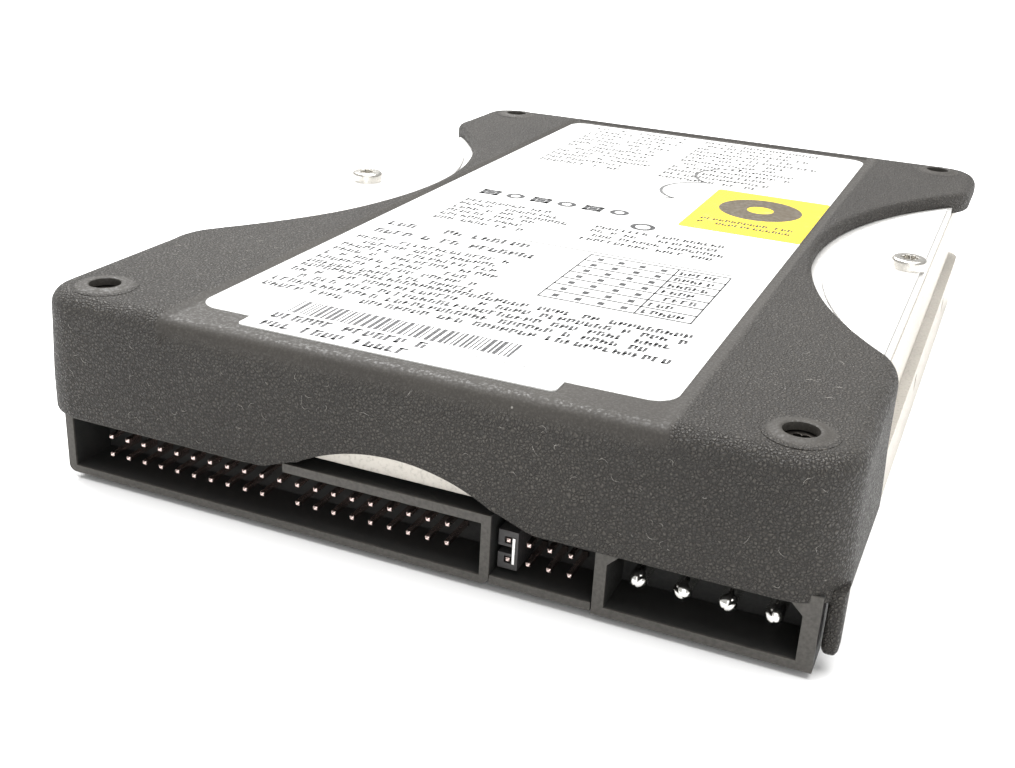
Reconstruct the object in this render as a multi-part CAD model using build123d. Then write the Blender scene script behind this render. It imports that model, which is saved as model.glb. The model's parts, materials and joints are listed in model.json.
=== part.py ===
from build123d import *
import math
import os

# A 3.5-inch hard disk drive in a rubber jacket. Millimetres, +Z up.
# Origin: the middle of the footprint, at the underside of the two mounting rails.
# +Y runs from the connector end to the far end, +X to the right seen from the connector end.

# --- overall sizes -------------------------------------------------------------------------
rail_width = 101.6          # across the two mounting rails
length = 147.0              # connector end to far end, over the jacket
jacket_top = 25.7           # top of the rubber jacket
rim_rise = 0.4              # raised rims of the jacket's screw holes above that

# --- jacket --------------------------------------------------------------------------------
jacket_end_skin = 2.4       # jacket wall at both ends
jacket_side_skin = 2.4      # jacket wall at the sides
jacket_proud = 0.8          # jacket side beyond the rails
skirt_bottom = 9.0          # lower edge of the jacket's skirt
far_lip = 3.6              # the jacket's edge at the far end hangs this far below its top
jacket_corner = 6.0         # plan radius of the jacket's corners
jacket_edge = 2.2           # rounding along the jacket's top edge
waist_half = 33.0           # half width at the waist
waist_radius = 69.0         # radius of the two side cut-outs
waist_y = 5.0               # where the waist is narrowest
lobe_round = 9.0            # rounding where a cut-out meets the side
arch_radius = 25.0          # arch in the front skirt
arch_top = 14.2
label_recess = 0.4          # depth of the label's recess
recess_x0 = -32.0
recess_x1 = 32.4
recess_back_gap = 2.8       # recess to the far end of the jacket
tail_width = 3.2            # rubber tail beside the power connector
tail_thick = 2.0
tail_bottom = 2.2
tail_gap = 0.25
screw_hole_r = 1.95         # jacket hole over a corner screw
rim_r = 3.8                 # raised rim around it

# --- casting -------------------------------------------------------------------------------
ledge_z = 9.5               # top of the rails
rail_thick = 7.0
rim_z = 21.5                # top of the casting's wall
floor_z = 8.0               # floor of the disk chamber
floor_under = 5.2           # underside of that floor
rear_under = 3.4            # underside of the thicker rear floor
rear_pocket = 2.0           # depth of the pockets between its ribs
rib = 1.6
bay_roof = 10.8             # underside of the casting over the connectors
bay_depth = 10.7            # connector bay, from the casting's front face
bay_wall = 1.4
step_floor = 12.4           # chamber floor over the connector bay
casting_corner = 4.0
chamber_gap = 0.6           # platter edge to chamber wall
back_wall = 1.6
front_wall = 2.2
side_wall = 3.2
gasket_thick = 0.8
lid_thick = 1.0
land_rise = 0.5             # raised land pressed in the lid at each cut-out
land_inset = 1.7            # land inside the jacket's cut-out
land_margin = 0.6           # land inside the lid's long edge
print_gap = 0.1             # lip of gasket and lid inside their neighbour

# --- mounting holes (3.5-inch form factor) ------------------------------------------------
mount_r = 1.4
mount_depth = 5.0
bottom_pitch_x = 95.25
bottom_pitch_y = 44.45
bottom_rear_y = 41.28       # far end to the rear pair
side_z = 6.35
side_first_y = 28.5         # far end to the first side hole
side_steps = (0.0, 41.6, 101.6)

# --- fasteners -----------------------------------------------------------------------------
fit_gap = 0.02              # pieces of one body that sit in each other
screw_r = 1.1
head_r = 2.6
head_high = 1.6
head_round = 0.5
lobe_r = 0.42               # six-lobed driver recess
lobe_ring = 0.95
recess_deep = 0.9
shank_long = 7.0
lid_hole_r = 1.3
side_screw_x = 46.6
side_screw_y = 5.0
corner_screw_in_x = 4.9     # corner screws in from the casting's side
corner_screw_in_y = 3.6     # and from its end

# --- circuit board -------------------------------------------------------------------------
board_z = 2.0
board_thick = 1.6
board_gap = 0.4             # board to rail
board_spindle_gap = 8.4     # the board's far edge, short of the spindle
board_notch_r = 18.0
board_screw_head_r = 2.2
board_screw_head_high = 1.2
board_boss_r = 3.0

# --- connectors ----------------------------------------------------------------------------
pin_pitch = 2.54
pin_side = 0.64
row_lift = 0.1              # lower pin row above the board
tail_below = 0.8            # pin tails below the board
mouth_recess = 0.7          # connector mouths behind the jacket's front face
housing_deep = 8.2
back_plate = 1.3
pin_recess = 1.2            # header pin tips behind the mouth
header_left_gap = 2.9       # rail side to header
header_width = 60.4
header_wall = 1.2
header_inner_high = 6.8
header_columns = 20
header_missing = 10         # bottom-row position with no pin, counted from 0
header_key = 5.3            # notch in the header's top wall
jumper_width = 12.5
jumper_columns = 4
jumper_first = 1.7          # first jumper column from its housing's side
power_width = 24.8
power_right_gap = 0.9       # rail side to power connector
power_wall_left = 1.4
power_wall_right = 1.85
power_inner_high = 6.9
power_roof = 1.3
power_chamfer = 1.4
power_pitch = 5.08
power_pin_r = 1.05
power_pin_recess = 1.8
power_tail_r = 0.6
power_row = 1.85            # power pins above the board

# --- jumper shunt --------------------------------------------------------------------------
shunt_wide = 2.44
shunt_high = 4.98
shunt_long = 5.4
shunt_slot = 0.9
shunt_bore = 0.9
clip_thick = 0.35
clip_proud = 0.12

# --- disks and motor -----------------------------------------------------------------------
platter_r = 47.5
platter_bore = 12.5
platter_thick = 1.27
spacer_thick = 2.5
hub_seat_z = 12.6           # top of the hub's flange
hub_flange_r = 16.0
hub_skirt = 2.2
hub_lift = 0.5              # hub above the floor
shaft_r = 2.5
race_wall = 1.1
ball_r = 0.55
bearing_high = 3.0
hub_bore = 6.0
hub_wall = 1.2
motor_base_r = 13.0
stator_inner = 7.7
stator_outer = 11.6
stator_teeth = 9
stator_lift = 1.0           # stator above the floor
stator_high = 2.2
winding_wrap = 0.25
tooth_half = 0.55
magnet_ring = 1.5
run_gap = 0.4
clamp_thick = 1.3
clamp_screws_count = 6
clamp_screw_ring = 8.9
clamp_head_r = 1.5
clamp_head_high = 0.9

# --- heads ---------------------------------------------------------------------------------
pivot_dx = 10.0             # actuator pivot from the spindle
pivot_dy = -52.2
arm_length = 47.0           # pivot to head
parked_r = 18.0             # head radius at rest, on the landing zone
outer_r = 46.0              # head radius at the other limit
head_gap = 0.2
slider_thick = 0.35
spring_thick = 0.2
arm_root = 4.5
arm_tip = 2.3
blade_long = 31.0
sleeve_wall = 1.35
pivot_r = 2.0
pivot_gap = 0.05
block_r = 5.0
coil_inner = 13.0
coil_outer = 25.0
coil_half_angle = 18.0
coil_z = 12.4
coil_thick = 2.2
coil_frame_angle = 21.0
frame_rim = 1.2
coil_seam = 0.3             # degrees between the coil and its fork
yoke_outer = 27.5
yoke_inner = 12.0
yoke_thick = 2.0
magnet_thick = 1.7
magnet_half_angle = 32.0
post_ring = 22.0
post_r = 1.6
bumper_r = 2.3
bumper_gap = 0.45

# --- labels --------------------------------------------------------------------------------
label_thick = 0.1
label_x0 = -31.0
label_x1 = 30.4
label_front = 6.7           # label to the jacket's front face
label_back = 4.8            # and to its far end
label_corner = 3.0
barcode_x0 = -22.9
barcode_x1 = 18.0
barcode_front = 3.5
barcode_deep = 12.0
square_deep = 26.7          # coloured sticker
square_x0 = 10.9
square_y0 = 2.3

# --- worked out ----------------------------------------------------------------------------
half_w = rail_width / 2
jacket_half = half_w + jacket_proud
front = -length / 2
back = length / 2
body_half = jacket_half - jacket_side_skin
body_front = front + jacket_end_skin
body_back = back - jacket_end_skin
lid_z = rim_z + gasket_thick
lid_top = lid_z + lid_thick
recess_z = jacket_top - label_recess
bay_back = body_front + bay_depth
chamber_r = platter_r + chamber_gap
spindle = (0.0, body_back - back_wall - chamber_r)
pivot = (spindle[0] + pivot_dx, spindle[1] + pivot_dy)
board_back_y = spindle[1] - board_spindle_gap
deep_front = bay_back + bay_wall
corner_x = body_half - corner_screw_in_x
corner_ys = (body_front + corner_screw_in_y, body_back - corner_screw_in_y)
board_top = board_z + board_thick
mouth = front + mouth_recess
housing_back = mouth + housing_deep
low_row = board_top + row_lift + pin_side / 2
high_row = low_row + pin_pitch
row_mid = (low_row + high_row) / 2
header_x0 = -half_w + header_left_gap
header_x1 = header_x0 + header_width
jumper_x0 = header_x1
jumper_x1 = jumper_x0 + jumper_width
power_x1 = half_w - power_right_gap
power_x0 = power_x1 - power_width
power_z = board_top + power_row
platter_zs = (hub_seat_z, hub_seat_z + platter_thick + spacer_thick)
stack_top = platter_zs[1] + platter_thick
clamp_top = stack_top + clamp_thick
arm_thick = spacer_thick - 2 * (head_gap + slider_thick + spring_thick)
reach = math.hypot(pivot_dx, pivot_dy)
to_spindle = math.degrees(math.atan2(-pivot_dy, -pivot_dx))


def opening_angle(head_r):
    """Angle at the pivot between the spindle and a head that is head_r from the spindle."""
    cosine = (reach ** 2 + arm_length ** 2 - head_r ** 2) / (2 * reach * arm_length)
    return math.degrees(math.acos(cosine))


rest_angle = to_spindle + opening_angle(parked_r)
swing = opening_angle(outer_r) - opening_angle(parked_r)
coil_rest = rest_angle + 180
coil_mid = coil_rest + swing / 2
post_angle = swing / 2 + coil_frame_angle + math.degrees((bumper_r + bumper_gap) / post_ring)
lower_yoke_z = floor_z
lower_magnet_z = lower_yoke_z + yoke_thick
upper_magnet_z = coil_z + coil_thick + 0.7
upper_yoke_z = upper_magnet_z + magnet_thick
yoke_top = upper_yoke_z + yoke_thick

# each arm: underside, and the sides of it that carry a head (-1 under, +1 over)
pack = head_gap + slider_thick + spring_thick
arm_levels = (
    (platter_zs[0] - pack - arm_thick, (1,)),
    (platter_zs[0] + platter_thick + pack, (-1, 1)),
    (stack_top + pack, (-1,)),
)
arm_bottom = arm_levels[0][0]
arm_top = arm_levels[2][0] + arm_thick


# --- helpers -------------------------------------------------------------------------------
def slab(x0, x1, y0, y1, z0, z1, radius=0.0):
    """A box between two corners, its upright edges rounded by radius."""
    body = Pos((x0 + x1) / 2, (y0 + y1) / 2, (z0 + z1) / 2) * Box(x1 - x0, y1 - y0, z1 - z0)
    if radius:
        body = fillet(body.edges().filter_by(Axis.Z), radius)
    return body


def rod(x, y, radius, z0, z1):
    """An upright cylinder."""
    return Pos(x, y, (z0 + z1) / 2) * Cylinder(radius, z1 - z0)


def ring(x, y, inner, outer, z0, z1):
    """An upright tube."""
    return rod(x, y, outer, z0, z1) - rod(x, y, inner, z0 - 1, z1 + 1)


def prism(points, z0, z1):
    """A polygon in plan, raised from z0 to z1."""
    return Pos(0, 0, z0) * extrude(make_face(Polyline(*points, close=True)), amount=z1 - z0)


def sector(inner, outer, half_angle, z0, z1):
    """A slice of a ring about the origin, centred on +X."""
    edge = (2 * outer, 2 * outer * math.tan(math.radians(half_angle)))
    wedge = prism([(0, 0), (edge[0], -edge[1]), edge], z0, z1)
    return ring(0, 0, inner, outer, z0, z1) & wedge


def on_pivot(shape, angle):
    """Turn a piece about the pivot, from +X to angle, and put it there."""
    return Pos(pivot[0], pivot[1], 0) * (Rot(0, 0, angle) * shape)


def polar(centre, radius, angle):
    """A point at radius and angle (degrees) from centre."""
    turn = math.radians(angle)
    return (centre[0] + radius * math.cos(turn), centre[1] + radius * math.sin(turn))


def together(shapes):
    """Separate solids of one node."""
    return Compound(children=[s for shape in shapes for s in shape.solids()])


def cover_screw_spots():
    """(x, y, underside of the head) of the six lid screws."""
    spots = [(sx * corner_x, y, lid_top) for sx in (-1, 1) for y in corner_ys]
    return spots + [(sx * side_screw_x, side_screw_y, lid_top + land_rise) for sx in (-1, 1)]


def board_screw_spots():
    """(x, y) of the circuit board's screws."""
    side = half_w - rail_thick - board_gap - board_boss_r - 2.0
    rear = board_back_y - 6
    return [(-side, rear), (side, rear), (-side, -50.0), (side, -50.0), (4.0, -26.0)]


# --- casting and covers --------------------------------------------------------------------
def chamber(grow, z0, z1):
    """The disk and head space in plan, grown by grow, from z0 to z1."""
    disks = rod(spindle[0], spindle[1], chamber_r + grow, z0, z1)
    side = body_half - side_wall + grow
    heads = slab(-side, side, deep_front - grow, spindle[1] - chamber_r / 2, z0, z1, 3.0)
    return disks + heads


def shelf(grow, z0, z1):
    """The shallow part of the chamber, over the connectors."""
    side = corner_x - head_r - 2.0 + grow
    return slab(-side, side, body_front + front_wall - grow, deep_front + 6, z0, z1, 2.0)


def base_casting():
    upper = slab(-body_half, body_half, body_front, body_back, floor_under, rim_z, casting_corner)
    rail_in = half_w - rail_thick
    rails = slab(-half_w, half_w, bay_back, body_back, 0, ledge_z, casting_corner)
    rails -= slab(-rail_in, rail_in, bay_back - 1, body_back - jacket_end_skin, -1, floor_under)
    body = upper + rails
    rear = slab(-rail_in, rail_in, board_back_y + 2, body_back - 1, rear_under, floor_under)
    body += rear
    body -= slab(-half_w - 1, half_w + 1, front, bay_back, 0, bay_roof)
    body -= chamber(0, floor_z, rim_z + 1)
    body -= shelf(0, step_floor, rim_z + 1)
    # rear pockets between a ring and radial ribs around the motor
    pockets = ring(spindle[0], spindle[1], motor_base_r + 4, motor_base_r + 24,
                   rear_under - 1, rear_under + rear_pocket)
    pockets &= slab(-rail_in + 2, rail_in - 2, board_back_y + 4, body_back - 4, 0, floor_z)
    for step in range(12):
        pockets -= Pos(*spindle, rear_under) * (Rot(0, 0, 30 * step + 15) * Box(120, rib, 8))
    body -= pockets
    body -= rod(*spindle, motor_base_r + fit_gap, 0, floor_z + 1)
    body -= rod(*spindle, motor_base_r + 3, 0, floor_under - 0.6)
    for x, y in board_screw_spots():
        body += rod(x, y, board_boss_r, board_top, floor_under + 0.2)
        body -= rod(x, y, screw_r + fit_gap, board_top - 1, floor_z - 0.8)
    for x, y, _ in cover_screw_spots():
        body -= rod(x, y, screw_r + fit_gap, lid_top - shank_long - 0.5, rim_z + 1)
    for x, y in bottom_mounts():
        body -= rod(x, y, mount_r, -1, mount_depth)
    for x, y in side_mounts():
        hole = Pos(x - math.copysign(mount_depth / 2, x), y, side_z) * Rot(0, 90, 0)
        body -= hole * Cylinder(mount_r, mount_depth)
    body -= bulkhead_block(fit_gap)
    return body


def bottom_mounts():
    """Four tapped holes under the rails."""
    rear = back - bottom_rear_y
    return [(sx * bottom_pitch_x / 2, y) for sx in (-1, 1) for y in (rear - bottom_pitch_y, rear)]


def side_mounts():
    """Three tapped holes in each rail's side."""
    return [(sx * half_w, back - side_first_y - step) for sx in (-1, 1) for step in side_steps]


def cover_gasket():
    side = body_half - print_gap
    sheet = slab(-side, side, body_front + print_gap, body_back - print_gap, rim_z, lid_z, casting_corner)
    sheet -= chamber(print_gap, rim_z - 1, lid_z + 1)
    sheet -= shelf(print_gap, rim_z - 1, lid_z + 1)
    for x, y, _ in cover_screw_spots():
        sheet -= rod(x, y, lid_hole_r, rim_z - 1, lid_z + 1)
    return sheet


def cut_out_circle(side, radius, z0, z1):
    """The round cut-out of one side; its inner edge is at the waist."""
    return rod(side * (waist_half + waist_radius), waist_y, radius, z0, z1)


def top_cover():
    side = body_half - print_gap
    y0 = body_front + print_gap
    y1 = body_back - print_gap
    sheet = slab(-side, side, y0, y1, lid_z, lid_top, casting_corner)
    for sign in (-1, 1):
        land = cut_out_circle(sign, waist_radius - land_inset, lid_top, lid_top + land_rise)
        half = waist_radius - waist_half / 2
        edge = side - land_margin
        inner = slab(-edge, edge, waist_y - half, waist_y + half, lid_z, lid_top + land_rise, 3.0)
        sheet += land & inner
    for x, y, _ in cover_screw_spots():
        sheet -= rod(x, y, lid_hole_r, lid_z - 1, lid_top + 2)
    return sheet


def cover_screws():
    screws = []
    for x, y, seat in cover_screw_spots():
        head = rod(x, y, head_r, seat, seat + head_high)
        head = fillet(head.edges().sort_by(Axis.Z)[-1], head_round)
        top = seat + head_high
        head -= rod(x, y, lobe_ring, top - recess_deep, top + 1)
        for step in range(6):
            lobe = polar((x, y), lobe_ring, 60 * step)
            head -= rod(*lobe, lobe_r, top - recess_deep, top + 1)
        screws.append(head + rod(x, y, screw_r, lid_top - shank_long, seat + 0.2))
    return together(screws)


def rubber_jacket():
    outer = slab(-jacket_half, jacket_half, front, back, skirt_bottom, jacket_top, jacket_corner)
    plan = outer
    for sign in (-1, 1):
        plan -= cut_out_circle(sign, waist_radius, skirt_bottom - 1, jacket_top + 1)
    lobes = [e for e in plan.edges().filter_by(Axis.Z) if abs(abs(e.center().X) - jacket_half) < 0.01
             and abs(e.center().Y - waist_y) < waist_radius]
    plan = fillet(lobes, lobe_round)
    plan = fillet(plan.edges().group_by(Axis.Z)[-1], jacket_edge)
    for x in (-corner_x, corner_x):
        for y in corner_ys:
            cone = Cone(rim_r, rim_r - 1.1, 2 * rim_rise)
            plan += Pos(x, y, jacket_top) * cone
            plan -= rod(x, y, screw_hole_r, jacket_top - 3, jacket_top + 3)
            plan -= rod(x, y, head_r + 0.3, lid_top - 1, lid_top + head_high + 0.1)
    plan -= slab(recess_x0, recess_x1, front - 1, back - recess_back_gap, recess_z, jacket_top + 1)
    plan -= slab(-body_half, body_half, body_front, body_back, 0, lid_top, casting_corner)
    plan -= slab(-half_w, half_w, bay_back, body_back, 0, ledge_z, casting_corner)
    for sign in (-1, 1):
        land = cut_out_circle(sign, waist_radius - land_inset + 0.2, lid_top - 1, lid_top + land_rise + 0.1)
        plan -= land & slab(-body_half, body_half, body_front, body_back, 0, jacket_top)
    plan -= slab(-half_w - 5, half_w + 5, waist_y, back + 1, skirt_bottom - 1, jacket_top - far_lip)
    arch = Pos(0, front, arch_top - arch_radius) * Rot(90, 0, 0)
    plan -= arch * Cylinder(arch_radius, 8 * jacket_end_skin)
    gap = 0.05
    plan -= slab(header_x0 - gap, header_x1 + gap, mouth - gap, 0, 0, header_top() + gap)
    plan -= slab(jumper_x0, jumper_x1, mouth - gap, 0, 0, jumper_top() + gap)
    plan -= slab(power_x0 - gap, power_x1 + gap, mouth - gap, 0, 0, power_top() + gap)
    tail_x0 = power_x1 + tail_gap
    y0 = front + 2.1
    tail = slab(tail_x0, tail_x0 + tail_thick, y0, y0 + tail_width, tail_bottom, skirt_bottom + 3)
    tail = fillet(tail.edges().filter_by(Axis.X).group_by(Axis.Z)[0], tail_width * 0.45)
    plan += tail
    return plan


# --- labels --------------------------------------------------------------------------------
def main_label():
    return slab(label_x0, label_x1, front + label_front, back - label_back,
                recess_z, recess_z + label_thick, label_corner)


def barcode_sticker():
    y0 = front + barcode_front
    edge = front + label_front
    upper = recess_z + 2 * label_thick
    sticker = slab(barcode_x0, barcode_x1, y0, y0 + barcode_deep, recess_z + label_thick, upper)
    return sticker + slab(barcode_x0, barcode_x1, y0, edge, recess_z, upper)


def coloured_sticker():
    z0 = recess_z + label_thick
    return slab(square_x0, label_x1, square_y0, square_y0 + square_deep, z0, z0 + label_thick)


# --- connectors ----------------------------------------------------------------------------
def header_top():
    """Top of the header's shell."""
    return row_mid + header_inner_high / 2 + header_wall


def jumper_top():
    """Top of the jumper block's roof."""
    return row_mid + header_inner_high / 2 + 0.9


def power_top():
    """Top of the power connector's shell."""
    return power_z + power_inner_high / 2 + power_roof


def header_pin_columns():
    """X of the header's pin columns, centred in its socket."""
    middle = (header_x0 + header_x1) / 2
    first = middle - (header_columns - 1) * pin_pitch / 2
    return [first + i * pin_pitch for i in range(header_columns)]


def jumper_pin_columns():
    """X of the jumper block's pin columns."""
    return [jumper_x0 + jumper_first + i * pin_pitch for i in range(jumper_columns)]


def rows_of_pins(columns, missing):
    """(x, z, row) of pins in two rows; missing is the empty place in the lower row."""
    spots = [(x, high_row, 1) for x in columns]
    return spots + [(x, low_row, 0) for i, x in enumerate(columns) if i != missing]


def tail_y(row):
    """Where a pin of this row goes down into the board."""
    return housing_back + 0.6 + row * 1.9


def header_housing():
    z0 = row_mid - header_inner_high / 2 - 1.0
    shell = slab(header_x0, header_x1, mouth, housing_back, z0, header_top())
    shell = fillet(shell.edges().filter_by(Axis.Y).sort_by(Axis.Z)[:2], 1.0)
    shell -= slab(header_x0 + header_wall, header_x1 - header_wall, mouth - 1, housing_back - back_plate,
                  z0 + 1.0, header_top() - header_wall)
    key = (header_x0 + header_x1) / 2
    shell -= slab(key - header_key / 2, key + header_key / 2, mouth - 1, housing_back - back_plate - 2,
                  header_top() - header_wall - 1, header_top() + 1)
    return pin_holes(shell, rows_of_pins(header_pin_columns(), header_missing))


def pin_holes(shell, spots):
    """Square holes through the back plate for the pins."""
    half = pin_side / 2 + fit_gap
    plate = housing_back - back_plate
    for x, z, _ in spots:
        shell -= slab(x - half, x + half, plate - 1, housing_back + 1, z - half, z + half)
    return shell


def square_pin(x, z, row):
    """One right-angled pin: along Y through its housing, then down through the board."""
    half = pin_side / 2
    tip = mouth + pin_recess
    leg = tail_y(row)
    lying = slab(x - half, x + half, tip, leg + half, z - half, z + half)
    lying = chamfer(lying.faces().sort_by(Axis.Y)[0].edges(), 0.2)
    return lying + slab(x - half, x + half, leg - half, leg + half, board_z - tail_below, z)


def header_pins():
    return together([square_pin(*s) for s in rows_of_pins(header_pin_columns(), header_missing)])


def jumper_pins():
    return together([square_pin(*s) for s in rows_of_pins(jumper_pin_columns(), None)])


def jumper_housing():
    x0 = jumper_x0 + fit_gap
    x1 = jumper_x1 - fit_gap
    inside = row_mid - header_inner_high / 2 + 0.3
    block = slab(x0, x1, mouth, housing_back, inside - 1.1, inside)
    block += slab(x0, x1, housing_back - back_plate, housing_back, inside - 1.1, jumper_top())
    block += slab(x0, x1, mouth + 3, housing_back, jumper_top() - 0.9, jumper_top())
    return pin_holes(block, rows_of_pins(jumper_pin_columns(), None))


def power_housing():
    z0 = power_z - power_inner_high / 2
    z1 = power_z + power_inner_high / 2
    shell = slab(power_x0, power_x1, mouth, housing_back, z0 - 1.1, power_top())
    inner_x0 = power_x0 + power_wall_left
    inner_x1 = power_x1 - power_wall_right
    cavity = slab(inner_x0, inner_x1, mouth - 1, housing_back - back_plate, z0, z1)
    upper = cavity.edges().filter_by(Axis.Y).sort_by(Axis.Z)[-2:]
    shell -= chamfer(upper, power_chamfer)
    for x in power_pin_xs():
        bore = Rot(90, 0, 0) * Cylinder(power_pin_r + fit_gap, 2 * housing_deep)
        shell -= Pos(x, housing_back, power_z) * bore
    return shell


def power_pin_xs():
    """X of the four power pins."""
    middle = (power_x0 + power_wall_left + power_x1 - power_wall_right) / 2
    return [middle + (i - 1.5) * power_pitch for i in range(4)]


def power_tail_y(i):
    """Where power pin i goes down into the board."""
    return tail_y(i % 2) + 0.2


def power_pins():
    pins = []
    tip = mouth + power_pin_recess
    for i, x in enumerate(power_pin_xs()):
        leg = power_tail_y(i)
        end = leg + power_tail_r
        lying = Pos(x, (tip + end) / 2, power_z) * Rot(90, 0, 0) * Cylinder(power_pin_r, end - tip)
        lying = fillet(lying.edges().sort_by(Axis.Y)[0], 0.7)
        lying -= slab(x - 0.15, x + 0.15, tip - 1, tip + 2.5, power_z - 2, power_z + 2)
        pins.append(lying + rod(x, leg, power_tail_r, board_z - tail_below, power_z))
    return together(pins)


def shunt_place():
    """Left side, front and lower side of the shunt on the first jumper column."""
    x = jumper_pin_columns()[0]
    return x - shunt_wide / 2, mouth + pin_recess + 0.2, row_mid - shunt_high / 2


def clip_solid(grow):
    """The contact strip: a bar across the front and two blades beside the pins."""
    x0, y0, _ = shunt_place()
    bar_x = x0 + shunt_wide / 2 + shunt_bore / 2 + 0.1
    y_front = y0 - clip_proud
    strip = slab(bar_x - grow, bar_x + clip_thick + grow, y_front, y0 + 0.3 + grow,
                 low_row - 0.45 - grow, high_row + 0.45 + grow)
    for z in (low_row, high_row):
        strip += slab(bar_x - grow, bar_x + clip_thick + grow, y0, y0 + shunt_long - 1 + grow,
                      z - 0.45 - grow, z + 0.45 + grow)
    return strip


def jumper_shunt():
    x0, y0, z0 = shunt_place()
    body = slab(x0, x0 + shunt_wide, y0, y0 + shunt_long, z0, z0 + shunt_high)
    half = shunt_bore / 2
    x = x0 + shunt_wide / 2
    for z in (low_row, high_row):
        body -= slab(x - half, x + half, y0 - 1, y0 + shunt_long + 1, z - half, z + half)
    slot = shunt_slot / 2
    body -= slab(x0 - 1, x + half, y0 - 1, y0 + shunt_long - 1.2, row_mid - slot, row_mid + slot)
    return body - clip_solid(fit_gap)


# --- circuit board -------------------------------------------------------------------------
def circuit_board():
    side = half_w - rail_thick - board_gap
    board = slab(-side, side, housing_back, board_back_y, board_z, board_top)
    board -= rod(*spindle, board_notch_r, board_z - 1, board_top + 1)
    for x, y in board_screw_spots():
        board -= rod(x, y, screw_r + 0.2, board_z - 1, board_top + 1)
    pins = rows_of_pins(header_pin_columns(), header_missing) + rows_of_pins(jumper_pin_columns(), None)
    for x, _, row in pins:
        board -= rod(x, tail_y(row), 0.5, board_z - 1, board_top + 1)
    for i, x in enumerate(power_pin_xs()):
        board -= rod(x, power_tail_y(i), power_tail_r + 0.1, board_z - 1, board_top + 1)
    return board


def insulator_sheet():
    side = half_w - rail_thick - 1.2
    sheet = slab(-side, side, deep_front, board_back_y - 1, board_top, floor_under, 2.0)
    sheet -= rod(*spindle, board_notch_r + 1, 0, 9)
    for x, y in board_screw_spots():
        sheet -= rod(x, y, board_boss_r + 0.4, 0, 9)
    block = bulkhead_block(0.5)
    return sheet - block - motor_connector()


def board_screws():
    screws = []
    for x, y in board_screw_spots():
        head = rod(x, y, board_screw_head_r, board_z - board_screw_head_high, board_z)
        head = fillet(head.edges().sort_by(Axis.Z)[0], 0.4)
        low = board_z - board_screw_head_high
        head -= rod(x, y, 0.7, low - 1, low + 0.7)
        for step in range(6):
            head -= rod(*polar((x, y), 0.7, 60 * step), 0.3, low - 1, low + 0.7)
        screws.append(head + rod(x, y, screw_r, board_z - 0.2, floor_z - 1.0))
    return together(screws)


def chip_body(x, y, size_x, size_y, high):
    """A moulded package under the board, its free edges chamfered."""
    z1 = board_z - 0.1
    body = slab(x - size_x / 2, x + size_x / 2, y - size_y / 2, y + size_y / 2, z1 - high, z1)
    return chamfer(body.faces().sort_by(Axis.Z)[0].edges(), 0.15)


def lead(span, foot, drop, width):
    """A gull-wing lead along +X from x = 0: out of the package, down to the board, then a foot."""
    thick = 0.12
    points = [(0, 0), (span, 0), (span, drop), (span + foot, drop), (span + foot, drop - thick),
              (span + thick, drop - thick), (span + thick, -thick), (0, -thick)]
    profile = make_face(Polyline(*points, close=True))
    return extrude(Plane.XZ.offset(-width / 2) * profile, amount=width)


def lead_rows(x, y, size_x, size_y, per_x, per_y, pitch):
    """Leads along the sides of a package: per_y on the left and right, per_x on the other two."""
    wing = lead(0.4, 0.5, board_z - chip_lead_z, 0.24)
    leads = []
    for turn, count, reach_out in ((0, per_y, size_x), (90, per_x, size_y),
                                   (180, per_y, size_x), (270, per_x, size_y)):
        for i in range(count):
            shift = (i - (count - 1) / 2) * pitch
            leads.append(Pos(x, y, chip_lead_z) * (Rot(0, 0, turn) * (Pos(reach_out / 2, shift, 0) * wing)))
    return leads


chip_lead_z = board_z - 0.75
controller = (-14.0, -26.0, 22.0, 22.0)
memory = (18.0, -44.0, 18.0, 10.0)
motor_driver = (22.0, -10.0, 12.0, 12.0)
code_memory = (-30.0, 4.0, 10.0, 12.0)


def controller_chip():
    return chip_body(*controller, 1.25)


def buffer_memory_chip():
    return chip_body(*memory, 1.0)


def motor_driver_chip():
    return chip_body(*motor_driver, 1.2)


def code_memory_chip():
    return chip_body(*code_memory, 1.0)


def chip_leads():
    leads = lead_rows(*controller, 30, 30, 0.65)
    leads += lead_rows(*motor_driver, 14, 14, 0.7)
    leads += lead_rows(memory[0], memory[1], memory[2], memory[3], 20, 0, 0.8)
    leads += lead_rows(code_memory[0], code_memory[1], code_memory[2], code_memory[3], 0, 14, 0.8)
    return together(leads)


def clock_crystal():
    can = slab(-38.5, -27.5, -38.6, -34.2, board_z - 1.4, board_z, 2.1)
    return fillet(can.faces().sort_by(Axis.Z)[0].edges(), 0.4)


def power_capacitors():
    spots = [(34, -56), (26, -56), (36, -38), (36, -28), (10, -8), (8, 2), (-38, -20)]
    return together([chip_body(x, y, 6.0, 3.2, 1.3) for x, y in spots])


def small_parts():
    """Rows of chip resistors and capacitors around the packages."""
    parts = []
    for i in range(14):
        parts.append(chip_body(-27 + 2 * i, -11, 0.8, 1.6, 0.5))
    for i in range(10):
        parts.append(chip_body(-0.4, -36 + 2 * i, 1.4, 0.8, 0.5))
    for i in range(9):
        parts.append(chip_body(-38 + 2.4 * i, -46, 0.9, 1.8, 0.6))
    for i in range(8):
        parts.append(chip_body(32, -20 + 2 * i, 1.6, 0.8, 0.5))
    for i in range(6):
        parts.append(chip_body(-18 + 2.2 * i, 7, 0.9, 1.8, 0.6))
    return together(parts)


def motor_connector():
    y = spindle[1] - board_notch_r - 3.4
    return slab(-5, 5, y, y + 3, board_top, floor_under)


def bulkhead_block(grow):
    """The head connector's block, which passes up through the floor."""
    return slab(-30 - grow, -14 + grow, -45 - grow, -40 + grow, board_top, 11.0, 1.0)


def bulkhead_connector():
    return bulkhead_block(0)


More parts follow.
